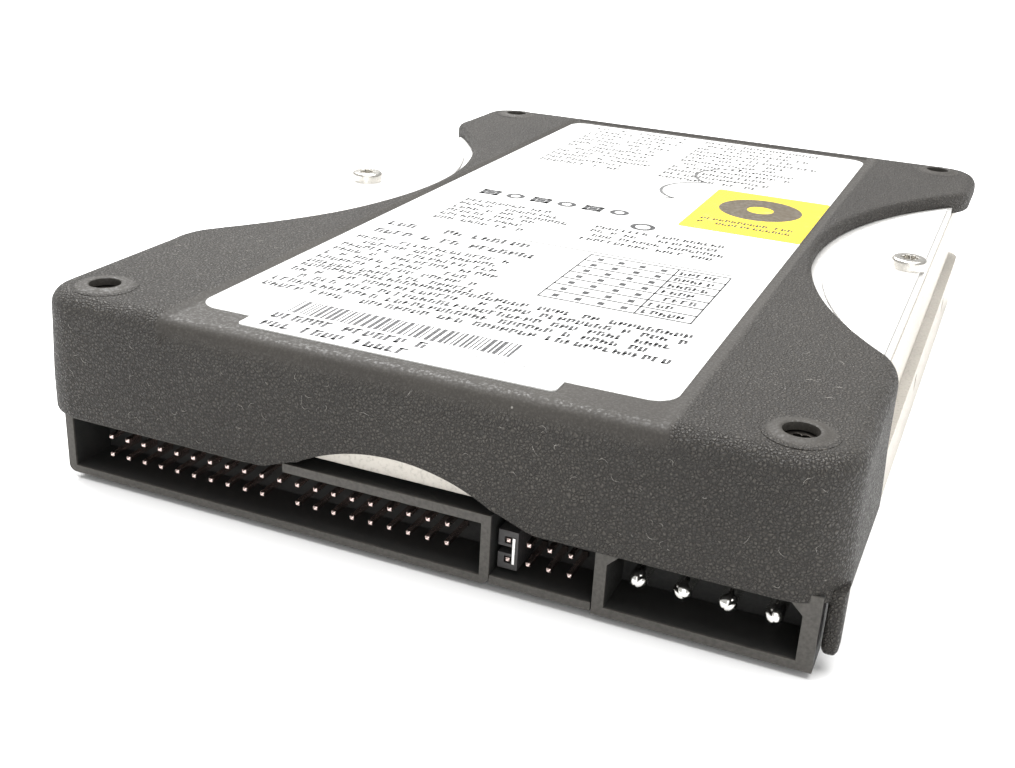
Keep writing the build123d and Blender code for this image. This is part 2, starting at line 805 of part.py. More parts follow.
# --- spindle -------------------------------------------------------------------------------
bearing_zs = (floor_z + 1.4, stack_top - bearing_high - 0.3)
ball_ring = (shaft_r + race_wall + hub_bore - race_wall) / 2


def motor_base():
    base = rod(*spindle, motor_base_r, floor_under - 0.6, floor_z)
    base += ring(*spindle, stator_inner, stator_inner + 1.5, floor_z - 0.2, floor_z + stator_lift)
    return base - rod(*spindle, shaft_r + fit_gap, 0, 30)


def spindle_shaft():
    shaft = rod(*spindle, shaft_r, floor_under - 0.6, clamp_top)
    return chamfer(shaft.edges().group_by(Axis.Z)[-1], 0.3)


def bearing_inner_races():
    return together([ring(*spindle, shaft_r + fit_gap, shaft_r + race_wall, z, z + bearing_high)
                     for z in bearing_zs])


def bearing_outer_races():
    return together([ring(*spindle, hub_bore - race_wall, hub_bore - fit_gap, z, z + bearing_high)
                     for z in bearing_zs])


def bearing_balls():
    balls = []
    for z in bearing_zs:
        for step in range(8):
            x, y = polar(spindle, ball_ring, 45 * step)
            balls.append(Pos(x, y, z + bearing_high / 2) * Sphere(ball_r))
    return together(balls)


def stator_core():
    z0 = floor_z + stator_lift
    z1 = z0 + stator_high
    core = ring(*spindle, stator_inner, stator_inner + 1.6, z0, z1)
    for step in range(stator_teeth):
        tooth = slab(stator_inner + 0.7, stator_outer - 0.3, -tooth_half, tooth_half, z0, z1)
        shoe = sector(stator_outer - 0.7, stator_outer, 13, z0, z1)
        core += Pos(*spindle, 0) * (Rot(0, 0, 360 / stator_teeth * step) * (tooth + shoe))
    return core


def stator_windings():
    """One coil round each tooth, clear of the hub above and the floor below."""
    z0 = floor_z + stator_lift
    z1 = z0 + stator_high
    middle = (stator_inner + 1.6 + stator_outer - 0.7) / 2
    inner = tooth_half + fit_gap
    coils = []
    for step in range(stator_teeth):
        coil = slab(middle - 0.6, middle + 0.6, -1.0, 1.0, z0 - winding_wrap, z1 + winding_wrap)
        coil -= slab(middle - 2, middle + 2, -inner, inner, z0 - fit_gap, z1 + fit_gap)
        coils.append(Pos(*spindle, 0) * (Rot(0, 0, 360 / stator_teeth * step) * coil))
    return together(coils)


def spindle_hub():
    low = floor_z + hub_lift
    skirt_in = hub_flange_r - hub_skirt
    hub = ring(*spindle, hub_bore, platter_bore - fit_gap, hub_seat_z - 0.8, stack_top)
    hub += ring(*spindle, hub_bore, hub_bore + hub_wall, low + 0.6, stack_top)
    hub += ring(*spindle, hub_bore, hub_flange_r, hub_seat_z - 0.8, hub_seat_z)
    hub += ring(*spindle, skirt_in, hub_flange_r, low, hub_seat_z)
    for x, y in clamp_screw_spots():
        hub -= rod(x, y, 0.7 + fit_gap, stack_top - 3, stack_top + 1)
    return hub


def rotor_magnet():
    outer = hub_flange_r - hub_skirt - fit_gap
    return ring(*spindle, outer - magnet_ring, outer, floor_z + hub_lift + 0.3, hub_seat_z - 0.9)


def platter(z0):
    """One polished disk, its edges broken."""
    disk = rod(*spindle, platter_r, z0, z0 + platter_thick)
    disk = chamfer(disk.edges(), 0.15)
    return disk - rod(*spindle, platter_bore, z0 - 1, z0 + platter_thick + 1)


def platter_spacer():
    z0 = platter_zs[0] + platter_thick
    return ring(*spindle, platter_bore, hub_flange_r, z0, z0 + spacer_thick)


def clamp_screw_spots():
    """The screws that hold the disk clamp."""
    return [polar(spindle, clamp_screw_ring, 60 * i) for i in range(clamp_screws_count)]


def disk_clamp():
    clamp = ring(*spindle, shaft_r + 1.5, platter_bore + 3, stack_top, clamp_top)
    clamp = chamfer(clamp.edges().group_by(Axis.Z)[-1].sort_by(SortBy.LENGTH)[-1], 0.4)
    for x, y in clamp_screw_spots():
        clamp -= rod(x, y, 0.9, stack_top - 1, clamp_top + 1)
    return clamp


def clamp_screws():
    screws = []
    for x, y in clamp_screw_spots():
        head = rod(x, y, clamp_head_r, clamp_top, clamp_top + clamp_head_high)
        top = clamp_top + clamp_head_high
        for step in range(6):
            head -= rod(*polar((x, y), 0.5, 60 * step), 0.25, top - 0.5, top + 1)
        head -= rod(x, y, 0.5, top - 0.5, top + 1)
        screws.append(head + rod(x, y, 0.7, stack_top - 2.6, clamp_top + 0.2))
    return together(screws)


# --- actuator ------------------------------------------------------------------------------
def pivot_shaft():
    flange = rod(*pivot, block_r - 1, floor_z, floor_z + 1.0)
    return flange + rod(*pivot, pivot_r, floor_z, arm_top + 0.8)


def pivot_sleeve():
    low = floor_z + 1.0 + run_gap
    return ring(*pivot, pivot_r + pivot_gap, pivot_r + sleeve_wall, low, arm_top + 0.3)


def actuator_arms():
    """The arm block: three blades on a hub, and two fork arms that hold the coil."""
    bore = pivot_r + sleeve_wall
    block = rod(0, 0, block_r, arm_bottom, arm_top)
    for z0, _ in arm_levels:
        blade = prism([(0, -arm_root), (blade_long, -arm_tip), (blade_long, arm_tip), (0, arm_root)],
                      z0, z0 + arm_thick)
        hole = prism([(9, -1.7), (22, -1.0), (22, 1.0), (9, 1.7)], z0 - 1, z0 + arm_thick + 1)
        block += blade - fillet(hole.edges().filter_by(Axis.Z), 0.6)
    fork_out = coil_frame_angle
    for sign in (-1, 1):
        edge = sector(block_r - 1, coil_outer, fork_out, coil_z, coil_z + coil_thick)
        edge -= sector(1, coil_outer + 1, coil_half_angle + coil_seam, coil_z - 1, coil_z + coil_thick + 1)
        edge &= slab(0, 40, min(0, sign * 40), max(0, sign * 40), coil_z - 1, coil_z + coil_thick + 1)
        block += Rot(0, 0, 180) * edge
    web = sector(block_r - 1, coil_inner - 1, coil_frame_angle, coil_z, coil_z + coil_thick)
    block += Rot(0, 0, 180) * web
    block -= rod(0, 0, bore, 0, 40)
    return on_pivot(block, rest_angle)


def voice_coil():
    """A flat coil shaped like a slice of a ring, with a slice-shaped eye."""
    coil = sector(coil_inner, coil_outer - frame_rim, coil_half_angle, coil_z, coil_z + coil_thick)
    coil -= sector(coil_inner + 3.2, coil_outer - frame_rim - 3.2, coil_half_angle - 9,
                   coil_z - 1, coil_z + coil_thick + 1)
    return on_pivot(coil, coil_rest)


def coil_frame():
    """The plastic that bonds the coil to the arm block: a rim outside it and a core in its eye."""
    low = coil_z + 0.2
    high = coil_z + coil_thick - 0.2
    rim = sector(coil_outer - frame_rim, coil_outer, coil_half_angle, low, high)
    core = sector(coil_inner + 3.2, coil_outer - frame_rim - 3.2, coil_half_angle - 9, low, high)
    return together([on_pivot(rim, coil_rest), on_pivot(core, coil_rest)])


def head_springs():
    """The thin steel springs between the blades and the heads."""
    springs = []
    start = blade_long - 6
    for z0, sides in arm_levels:
        for side in sides:
            low = z0 + arm_thick if side > 0 else z0 - spring_thick
            outline = [(start, -2.1), (blade_long, -2.1), (arm_length + 0.8, -0.7),
                       (arm_length + 0.8, 0.7), (blade_long, 2.1), (start, 2.1)]
            springs.append(on_pivot(prism(outline, low, low + spring_thick), rest_angle))
    return together(springs)


def head_sliders():
    sliders = []
    for z0, sides in arm_levels:
        for side in sides:
            low = z0 + arm_thick + spring_thick if side > 0 else z0 - spring_thick - slider_thick
            block = slab(arm_length - 0.6, arm_length + 0.6, -0.5, 0.5, low, low + slider_thick)
            sliders.append(on_pivot(block, rest_angle))
    return together(sliders)


def preamp_board():
    """The small amplifier board on the side of the arm block."""
    board = slab(-2.6, 2.6, block_r - 0.1, block_r + 0.5, arm_bottom + 1, arm_top - 1)
    board += slab(-1.8, 1.8, block_r + 0.5, block_r + 1.3, coil_z, coil_z + 3)
    board -= rod(0, 0, block_r, 0, 40)
    return on_pivot(board, rest_angle)


def flex_circuit():
    """The ribbon from the bulkhead towards the arm block, standing on edge in one easy bend."""
    start = (-22.0, -42.5)
    middle = (-10.0, -48.0)
    end = (1.0, pivot[1] - 8.6)
    path = ThreePointArc(start, middle, end)
    ribbon = make_face(offset(path, 0.15, side=Side.BOTH).edges())
    return Pos(0, 0, 11.0) * extrude(ribbon, amount=5.0)


def yoke(z0):
    """A steel plate behind the magnets."""
    half = post_angle + math.degrees((bumper_r + 0.6) / post_ring)
    return on_pivot(sector(yoke_inner, yoke_outer, half, z0, z0 + yoke_thick), coil_mid)


def post_spots():
    """The two posts that hold the yokes apart."""
    return [polar(pivot, post_ring, coil_mid + sign * post_angle) for sign in (-1, 1)]


def lower_yoke():
    return yoke(lower_yoke_z)


def upper_yoke():
    plate = yoke(upper_yoke_z)
    for x, y in post_spots():
        plate -= rod(x, y, screw_r + 0.1, upper_yoke_z - 1, yoke_top + 1)
    return plate


def voice_magnet(z0):
    return on_pivot(sector(coil_inner, coil_outer, magnet_half_angle, z0, z0 + magnet_thick), coil_mid)


def yoke_posts():
    posts = []
    for x, y in post_spots():
        post = rod(x, y, post_r, lower_yoke_z + yoke_thick, upper_yoke_z)
        posts.append(post - rod(x, y, screw_r + fit_gap, upper_yoke_z - 4, upper_yoke_z + 1))
    return together(posts)


def yoke_screws():
    screws = []
    for x, y in post_spots():
        head = rod(x, y, 2.0, yoke_top, yoke_top + 1.1)
        for step in range(6):
            head -= rod(*polar((x, y), 0.7, 60 * step), 0.3, yoke_top + 0.4, yoke_top + 2)
        head -= rod(x, y, 0.7, yoke_top + 0.4, yoke_top + 2)
        screws.append(head + rod(x, y, screw_r, upper_yoke_z - 3.5, yoke_top + 0.2))
    return together(screws)


def crash_stops():
    """Rubber sleeves on the posts; the coil frame's sides meet them at the two limits."""
    low = lower_yoke_z + yoke_thick
    return together([ring(x, y, post_r + fit_gap, bumper_r, low + 0.5, upper_yoke_z - 0.5)
                     for x, y in post_spots()])


def air_filter():
    """The small filter that cleans the air stirred up by the disks."""
    return slab(-43, -35, -42, -38.5, floor_z, rim_z - 1.5, 0.8)


nodes = {
    "base_casting": base_casting,
    "cover_gasket": cover_gasket,
    "top_cover": top_cover,
    "cover_screws": cover_screws,
    "rubber_jacket": rubber_jacket,
    "main_label": main_label,
    "barcode_sticker": barcode_sticker,
    "coloured_sticker": coloured_sticker,
    "header_housing": header_housing,
    "header_pins": header_pins,
    "jumper_housing": jumper_housing,
    "jumper_pins": jumper_pins,
    "jumper_shunt": jumper_shunt,
    "shunt_clip": lambda: clip_solid(0),
    "power_housing": power_housing,
    "power_pins": power_pins,
    "circuit_board": circuit_board,
    "insulator_sheet": insulator_sheet,
    "board_screws": board_screws,
    "controller_chip": controller_chip,
    "buffer_memory_chip": buffer_memory_chip,
    "motor_driver_chip": motor_driver_chip,
    "code_memory_chip": code_memory_chip,
    "chip_leads": chip_leads,
    "clock_crystal": clock_crystal,
    "power_capacitors": power_capacitors,
    "small_parts": small_parts,
    "motor_connector": motor_connector,
    "bulkhead_connector": bulkhead_connector,
    "motor_base": motor_base,
    "spindle_shaft": spindle_shaft,
    "bearing_inner_races": bearing_inner_races,
    "bearing_outer_races": bearing_outer_races,
    "bearing_balls": bearing_balls,
    "stator_core": stator_core,
    "stator_windings": stator_windings,
    "spindle_hub": spindle_hub,
    "rotor_magnet": rotor_magnet,
    "lower_platter": lambda: platter(platter_zs[0]),
    "upper_platter": lambda: platter(platter_zs[1]),
    "platter_spacer": platter_spacer,
    "disk_clamp": disk_clamp,
    "clamp_screws": clamp_screws,
    "pivot_shaft": pivot_shaft,
    "pivot_sleeve": pivot_sleeve,
    "actuator_arms": actuator_arms,
    "voice_coil": voice_coil,
    "coil_frame": coil_frame,
    "head_springs": head_springs,
    "head_sliders": head_sliders,
    "preamp_board": preamp_board,
    "flex_circuit": flex_circuit,
    "lower_yoke": lower_yoke,
    "upper_yoke": upper_yoke,
    "lower_magnet": lambda: voice_magnet(lower_magnet_z),
    "upper_magnet": lambda: voice_magnet(upper_magnet_z),
    "yoke_posts": yoke_posts,
    "yoke_screws": yoke_screws,
    "crash_stops": crash_stops,
    "air_filter": air_filter,
}

os.makedirs("parts", exist_ok=True)
for name, make in nodes.items():
    shape = make()
    export_step(shape, f"parts/{name}.step")
    print(name, len(shape.solids()), round(shape.volume, 2))
print("nodes", len(nodes), "swing", round(swing, 2), "rest angle", round(rest_angle, 2))
print("spindle", spindle, "pivot", pivot)
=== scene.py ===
# %% [markdown]
# # A hard disk drive in a rubber jacket
# The drive is a cast aluminium tray with a plated lid, a circuit board underneath and three
# connectors at one end. A soft rubber jacket is pulled over the lid and both ends. The engineering
# model comes first, as a fixed frame: every piece made here takes its place from it.

# %% The frame
import json
import math

import bmesh
import bpy
import numpy as np
from mathutils import Matrix, Vector

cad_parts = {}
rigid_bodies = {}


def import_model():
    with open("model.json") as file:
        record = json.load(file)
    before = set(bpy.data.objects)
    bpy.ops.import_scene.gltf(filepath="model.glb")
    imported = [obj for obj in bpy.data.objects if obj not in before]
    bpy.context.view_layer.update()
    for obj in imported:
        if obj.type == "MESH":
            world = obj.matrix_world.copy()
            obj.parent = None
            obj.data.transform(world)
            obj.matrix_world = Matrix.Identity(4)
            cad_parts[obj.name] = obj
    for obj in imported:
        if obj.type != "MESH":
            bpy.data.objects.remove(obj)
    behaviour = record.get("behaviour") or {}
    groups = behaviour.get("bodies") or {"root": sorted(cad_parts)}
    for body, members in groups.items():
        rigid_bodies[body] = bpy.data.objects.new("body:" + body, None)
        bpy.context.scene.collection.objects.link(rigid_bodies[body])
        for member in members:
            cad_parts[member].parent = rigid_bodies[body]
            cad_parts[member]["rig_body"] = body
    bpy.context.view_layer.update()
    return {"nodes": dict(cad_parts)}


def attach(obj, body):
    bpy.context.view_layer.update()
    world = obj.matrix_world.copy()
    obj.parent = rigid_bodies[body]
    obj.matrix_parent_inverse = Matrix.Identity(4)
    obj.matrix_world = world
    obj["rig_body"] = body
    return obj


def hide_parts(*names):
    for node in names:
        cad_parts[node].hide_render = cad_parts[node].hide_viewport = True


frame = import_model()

nodes = frame["nodes"]
MM = 0.001


# %% [markdown]
# ## Small tools for surfaces
# A surface here is a grid of points worked out by a formula, or a flat profile carried round a
# path. Numpy works out all the points at once, and one helper turns them into a mesh. The volume
# inside a closed surface is positive when its faces point outwards, so the helper measures it and
# turns the faces over if it has to.

# %% Grids, lids and walls
def grid_quads(rows, columns, start=0, round_rows=False, round_columns=False):
    """Faces of a grid of rows x columns points: each joins a point to the next one along and up."""
    index = start + np.arange(rows * columns).reshape(rows, columns)
    if round_rows:
        index = np.vstack([index, index[:1]])
    if round_columns:
        index = np.hstack([index, index[:, :1]])
    corners = [index[:-1, :-1], index[:-1, 1:], index[1:, 1:], index[1:, :-1]]
    return np.stack(corners, -1).reshape(-1, 4)


def volume(points, faces):
    """Sum over the faces of corner . (edge x edge) / 6, each quad as two triangles."""
    total = 0.0
    for face in (faces[:, [0, 1, 2]], faces[:, [0, 2, 3]]):
        a, b, c = points[face[:, 0]], points[face[:, 1]], points[face[:, 2]]
        total += np.einsum("ij,ij->i", a, np.cross(b, c)).sum() / 6
    return total


def piece(name, points, quads, paint, body="drive", slot=None, stands_for=(), sharp=40.0):
    """A mesh object from points in millimetres and quads; a quad with a repeated corner is a triangle."""
    points = np.asarray(points, float).reshape(-1, 3)
    quads = np.asarray(quads).reshape(-1, 4)
    if volume(points, quads) < 0:
        quads = quads[:, ::-1]
    mesh = bpy.data.meshes.new(name)
    faces = [list(dict.fromkeys(face)) for face in quads.tolist()]
    mesh.from_pydata((points * MM).tolist(), [], [face for face in faces if len(face) > 2])
    mesh.validate()
    return finish_piece(mesh, name, paint, body, stands_for, sharp)


def finish_piece(mesh, name, paint, body, stands_for, sharp):
    """Smooth shading up to the sharp angle, a material, and a place on a body of the frame."""
    mesh.shade_smooth()
    mesh.set_sharp_from_angle(angle=math.radians(sharp))
    mesh.materials.append(paint)
    thing = bpy.data.objects.new(name, mesh)
    bpy.context.scene.collection.objects.link(thing)
    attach(thing, body)
    if stands_for:
        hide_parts(*stands_for)
    print(f"{name}: {len(mesh.polygons)} faces")
    return thing


def thick_sheet(outer, inner, quads):
    """Two copies of one sheet joined around every open edge, which makes a closed wall."""
    count = len(outer)
    edges = np.concatenate([quads[:, [0, 1]], quads[:, [1, 2]], quads[:, [2, 3]], quads[:, [3, 0]]])
    ordered = np.sort(edges, 1)
    _, first, times = np.unique(ordered, axis=0, return_index=True, return_counts=True)
    rim = edges[first[times == 1]]
    walls = np.stack([rim[:, 1], rim[:, 0], rim[:, 0] + count, rim[:, 1] + count], -1)
    return np.vstack([outer, inner]), np.vstack([quads, quads[:, ::-1] + count, walls])


def lathe(profile, centre, count=48):
    """A closed loop of (radius, height) turned about an upright line through centre."""
    profile = np.asarray(profile, float)
    turn = np.linspace(0, 2 * np.pi, count, endpoint=False)
    radius = profile[:, 0][:, None]
    x = centre[0] + radius * np.cos(turn)
    y = centre[1] + radius * np.sin(turn)
    z = np.broadcast_to(profile[:, 1][:, None], x.shape)
    return np.stack([x, y, z], -1).reshape(-1, 3), grid_quads(len(profile), count, 0, True, True)


def stacked_rings(rings):
    """A body through a stack of closed rings, shut with a fan at each end."""
    count, size = rings.shape[:2]
    points = rings.reshape(-1, 3)
    ends = np.stack([rings[0].mean(0), rings[-1].mean(0)])
    step = np.arange(size)
    after = (step + 1) % size
    last = (count - 1) * size
    first_end = np.full(size, count * size)
    low_fan = np.stack([after, step, first_end, first_end], -1)
    high_fan = np.stack([last + step, last + after, first_end + 1, first_end + 1], -1)
    return np.vstack([points, ends]), np.vstack([grid_quads(count, size, 0, False, True), low_fan, high_fan])


def join_parts(parts):
    """Several (points, quads) as one."""
    points, quads, start = [], [], 0
    for some_points, some_quads in parts:
        points.append(some_points)
        quads.append(some_quads + start)
        start += len(some_points)
    return np.vstack(points), np.vstack(quads)


def ease(t):
    """0 below 0, 1 above 1, and a smooth S between them."""
    t = np.clip(t, 0, 1)
    return t * t * (3 - 2 * t)


def arc(centre, radius, start, end, count):
    """Points and outward directions on an arc, angles in degrees."""
    turn = np.radians(np.linspace(start, end, count))
    out = np.stack([np.cos(turn), np.sin(turn)], -1)
    return np.asarray(centre) + radius * out, out


# %% [markdown]
# ## Small tools for materials
# A material is a little network of nodes. `node` makes one, sets its plain values, and wires any
# value that is itself an output of another node. All patterns read Object coordinates, which are in
# metres, so a noise of scale 1000 has features about a millimetre across.

# %% Nodes
def node(tree, kind, settings=None, by_index=None, **values):
    """One shader node with its settings, values and wires."""
    made = tree.nodes.new("ShaderNode" + kind)
    for key, value in (settings or {}).items():
        setattr(made, key, value)
    pairs = [(made.inputs[key.replace("_", " ")], value) for key, value in values.items()]
    pairs += [(made.inputs[index], value) for index, value in (by_index or {}).items()]
    for socket, value in pairs:
        if isinstance(value, bpy.types.NodeSocket):
            tree.links.new(value, socket)
        else:
            socket.default_value = value
    return made


def start_material(name, **shader_values):
    """A new material: its tree, its shader and its Object coordinates."""
    made = bpy.data.materials.new(name)
    made.use_nodes = True
    tree = made.node_tree
    shader = next(n for n in tree.nodes if n.type == "BSDF_PRINCIPLED")
    for key, value in shader_values.items():
        shader.inputs[key.replace("_", " ")].default_value = value
    place = tree.nodes.new("ShaderNodeTexCoord").outputs["Object"]
    return made, tree, shader, place


def noise(tree, place, scale, detail=3.0, rough=0.55):
    """Noise between about 0.3 and 0.7."""
    return node(tree, "TexNoise", Vector=place, Scale=scale, Detail=detail, Roughness=rough).outputs["Fac"]


def cells(tree, place, scale, feature="F1", output="Distance"):
    """Distance to the nearest of some scattered points, or to the line between two of them."""
    return node(tree, "TexVoronoi", {"feature": feature}, Vector=place, Scale=scale).outputs[output]


def ramp(tree, value, low, high, to_low=0.0, to_high=1.0):
    """A value from low..high as to_low..to_high, held at its ends."""
    names = {"Value": value, "From_Min": low, "From_Max": high, "To_Min": to_low, "To_Max": to_high}
    return node(tree, "MapRange", **names).outputs["Result"]


def blend_colours(tree, amount, first, second, mode="MIX"):
    """first where amount is 0, second where it is 1."""
    made = node(tree, "Mix", {"data_type": "RGBA", "blend_type": mode}, {0: amount, 6: first, 7: second})
    return made.outputs[2]


def maths(tree, what, first, second=0.5):
    """One sum."""
    return node(tree, "Math", {"operation": what}, {0: first, 1: second}).outputs["Value"]


def bumps(tree, shader, *layers):
    """Bump layers (height, distance in metres, strength), each on the one before."""
    before = None
    for height, distance, strength in layers:
        values = {"Height": height, "Distance": distance, "Strength": strength}
        if before:
            values["Normal"] = before
        before = node(tree, "Bump", **values).outputs["Normal"]
    tree.links.new(before, shader.inputs["Normal"])


def rgb(red, green, blue):
    """A colour with full alpha."""
    return (red, green, blue, 1.0)


# %% [markdown]
# ## Rubber, plastic and paper
# The jacket is soft black rubber moulded with a fine leathery grain: small rounded pebbles about
# 0.6 mm across, with creases between them that are painted darker as shade. Handling has left it
# dusty. The grain is two layers of bump, and the dust is a faint pale cloud with a scatter of paler specks.

# %% Jacket rubber
def jacket_material(name, grain):
    """Charcoal rubber; grain is the depth of its pebbles in metres.

    The mesh's own value polish is 1 where the mould was polished and fades to the grain around it.
    """
    made, tree, shader, place = start_material(name, Specular_IOR_Level=0.4)
    broad = noise(tree, place, 42.0, 4.0)
    fine = noise(tree, place, 3600.0, 4.0)
    cloud = ramp(tree, broad, 0.35, 0.65)
    clean = blend_colours(tree, cloud, rgb(0.031, 0.027, 0.0225), rgb(0.046, 0.041, 0.0345))
    dusty = blend_colours(tree, ramp(tree, fine, 0.5, 0.72, 0.0, 0.3), clean, rgb(0.15, 0.14, 0.12))
    spots = node(tree, "TexVoronoi", Vector=place, Scale=520.0)
    rare = node(tree, "TexWhiteNoise", Vector=spots.outputs["Position"]).outputs["Value"]
    near = ramp(tree, spots.outputs["Distance"], 0.04, 0.09, 0.8, 0.0)
    specks = maths(tree, "MULTIPLY", near, ramp(tree, rare, 0.95, 0.96))
    colour = blend_colours(tree, specks, dusty, rgb(0.5, 0.48, 0.44))
    polish = node(tree, "Attribute", {"attribute_name": "polish"}).outputs["Fac"]
    rough_part = maths(tree, "SUBTRACT", 1.0, polish)
    drift = node(tree, "TexNoise", Vector=place, Scale=1500.0, Detail=2.0).outputs["Color"]
    bent = node(tree, "Mix", {"data_type": "VECTOR"}, {0: 0.0006, 4: place, 5: drift}).outputs[1]
    crease = ramp(tree, cells(tree, bent, 2500.0, "DISTANCE_TO_EDGE"), 0.0, 0.28)
    dome = ramp(tree, cells(tree, bent, 2500.0), 0.0, 0.75, 1.0, 0.0)
    # Painted shade: the creases between the pebbles are painted nearly black, as the shade that falls in
    # them.
    in_crease = maths(tree, "SUBTRACT", 1.0, crease)
    shade = maths(tree, "MULTIPLY", in_crease, maths(tree, "MULTIPLY", rough_part, 0.9))
    crease_shaded = blend_colours(tree, shade, colour, rgb(0.012, 0.011, 0.01))
    darker = maths(tree, "MULTIPLY", polish, 0.4)
    final = blend_colours(tree, darker, crease_shaded, rgb(0.014, 0.013, 0.012))
    tree.links.new(final, shader.inputs["Base Color"])
    tree.links.new(ramp(tree, dome, 0.2, 0.9, 0.72, 0.36), shader.inputs["Roughness"])
    grained = maths(tree, "MULTIPLY", maths(tree, "ADD", crease, dome), rough_part)
    bumps(tree, shader, (grained, grain, 0.9), (fine, grain * 0.25, 0.6))
    return made


jacket_rubber = jacket_material("jacket_rubber", 0.00012)


# %% [markdown]
# Moulded plastic has a faint cloudiness and fine pitting, and goes pale where it has been rubbed.
# Glass-filled connector plastic is nearly black with a slight silky shine.

# %% Plastics, paper and ink
def plastic_material(name, colour, rough=0.45, pit=0.00002, wear=0.15):
    """Moulded plastic: colour, gloss, depth of its pits and how pale its worn spots are."""
    made, tree, shader, place = start_material(name, Specular_IOR_Level=0.5)
    cloud = noise(tree, place, 160.0, 4.0)
    fine = noise(tree, place, 2600.0, 3.0)
    pale = tuple(min(1.0, c + wear * 0.35) for c in colour)
    worn = ramp(tree, cloud, 0.5, 0.75, 0.0, wear)
    tree.links.new(blend_colours(tree, worn, rgb(*colour), rgb(*pale)), shader.inputs["Base Color"])
    tree.links.new(ramp(tree, fine, 0.3, 0.7, rough - 0.08, rough + 0.12), shader.inputs["Roughness"])
    bumps(tree, shader, (fine, pit, 0.5))
    return made


def label_material(name, colour):
    """Coated paper film: nearly even, slightly mottled, with a soft satin shine."""
    made, tree, shader, place = start_material(name, Roughness=0.42, Specular_IOR_Level=0.45)
    cloud = noise(tree, place, 45.0, 3.0)
    grime = noise(tree, place, 320.0, 4.0)
    darker = tuple(c * 0.93 for c in colour)
    base = blend_colours(tree, ramp(tree, cloud, 0.35, 0.7), rgb(*colour), rgb(*darker))
    colour_out = blend_colours(tree, ramp(tree, grime, 0.62, 0.8, 0.0, 0.18), base, rgb(0.5, 0.48, 0.44))
    tree.links.new(colour_out, shader.inputs["Base Color"])
    tree.links.new(ramp(tree, grime, 0.3, 0.7, 0.36, 0.5), shader.inputs["Roughness"])
    bumps(tree, shader, (cloud, 0.00005, 0.4), (grime, 0.000008, 0.3))
    return made


def ink_material(name, colour):
    """Printed ink, thinner in places so that the paper shows through."""
    made, tree, shader, place = start_material(name, Roughness=0.5)
    patch = noise(tree, place, 1400.0, 4.0)
    faded = tuple(min(1.0, c + 0.05) for c in colour)
    mix = blend_colours(tree, ramp(tree, patch, 0.4, 0.75), rgb(*colour), rgb(*faded))
    tree.links.new(mix, shader.inputs["Base Color"])
    return made


def mouth_plastic_material():
    """Nearly black glass-filled plastic, with the faces at the connectors' mouth a paler grey."""
    made, tree, shader, place = start_material("connector_plastic", Specular_IOR_Level=0.3)
    fine = noise(tree, place, 2200.0, 4.0)
    along = node(tree, "SeparateXYZ", Vector=place).outputs["Y"]
    front = ramp(tree, along, -0.0724, -0.0727)
    blotch, cloud = ramp(tree, fine, 0.4, 0.7), ramp(tree, fine, 0.35, 0.65)
    black = blend_colours(tree, blotch, rgb(0.015, 0.015, 0.0145), rgb(0.026, 0.0255, 0.024))
    # The faces at the connectors' mouth are a paler grey than the plastic behind them.
    mouth_grey = blend_colours(tree, cloud, rgb(0.05, 0.047, 0.042), rgb(0.078, 0.073, 0.066))
    tree.links.new(blend_colours(tree, front, black, mouth_grey), shader.inputs["Base Color"])
    tree.links.new(ramp(tree, fine, 0.3, 0.7, 0.5, 0.68), shader.inputs["Roughness"])
    bumps(tree, shader, (fine, 0.00002, 0.5))
    return made


connector_plastic = mouth_plastic_material()
shunt_plastic = plastic_material("shunt_plastic", (0.035, 0.033, 0.033), 0.5)
chip_plastic = plastic_material("chip_plastic", (0.02, 0.02, 0.022), 0.6, 0.00003)
amber_plastic = plastic_material("amber_plastic", (0.45, 0.22, 0.06), 0.35)
capacitor_body = plastic_material("capacitor_body", (0.62, 0.3, 0.05), 0.4)
passive_body = plastic_material("passive_body", (0.2, 0.13, 0.08), 0.5)
foam_black = plastic_material("foam_black", (0.02, 0.02, 0.02), 0.9, 0.0002)
gasket_rubber = plastic_material("gasket_rubber", (0.5, 0.49, 0.46), 0.7)
stop_rubber = plastic_material("stop_rubber", (0.02, 0.02, 0.02), 0.7)
magnet_black = plastic_material("magnet_black", (0.03, 0.03, 0.03), 0.5)
slider_ceramic = plastic_material("slider_ceramic", (0.05, 0.05, 0.055), 0.25)
filter_fabric = plastic_material("filter_fabric", (0.75, 0.74, 0.71), 0.95, 0.0003)
flex_film = plastic_material("flex_film", (0.5, 0.2, 0.03), 0.25)
white_label = label_material("white_label", (0.66, 0.66, 0.65))
yellow_sticker = label_material("yellow_sticker", (0.72, 0.54, 0.025))
black_ink = ink_material("black_ink", (0.02, 0.02, 0.022))
grey_ink = ink_material("grey_ink", (0.09, 0.09, 0.09))
brown_ink = ink_material("brown_ink", (0.06, 0.045, 0.025))


# %% [markdown]
# ## Metals
# The same few metals appear all over a drive: dull die-cast aluminium with dark pores, satin plated
# sheet, bright turned or ground steel, tin and gold on the pins, and the mirror of the disks. Each
# gets a base colour that varies, fine scratches or pores in its bump, and a gloss that wanders.

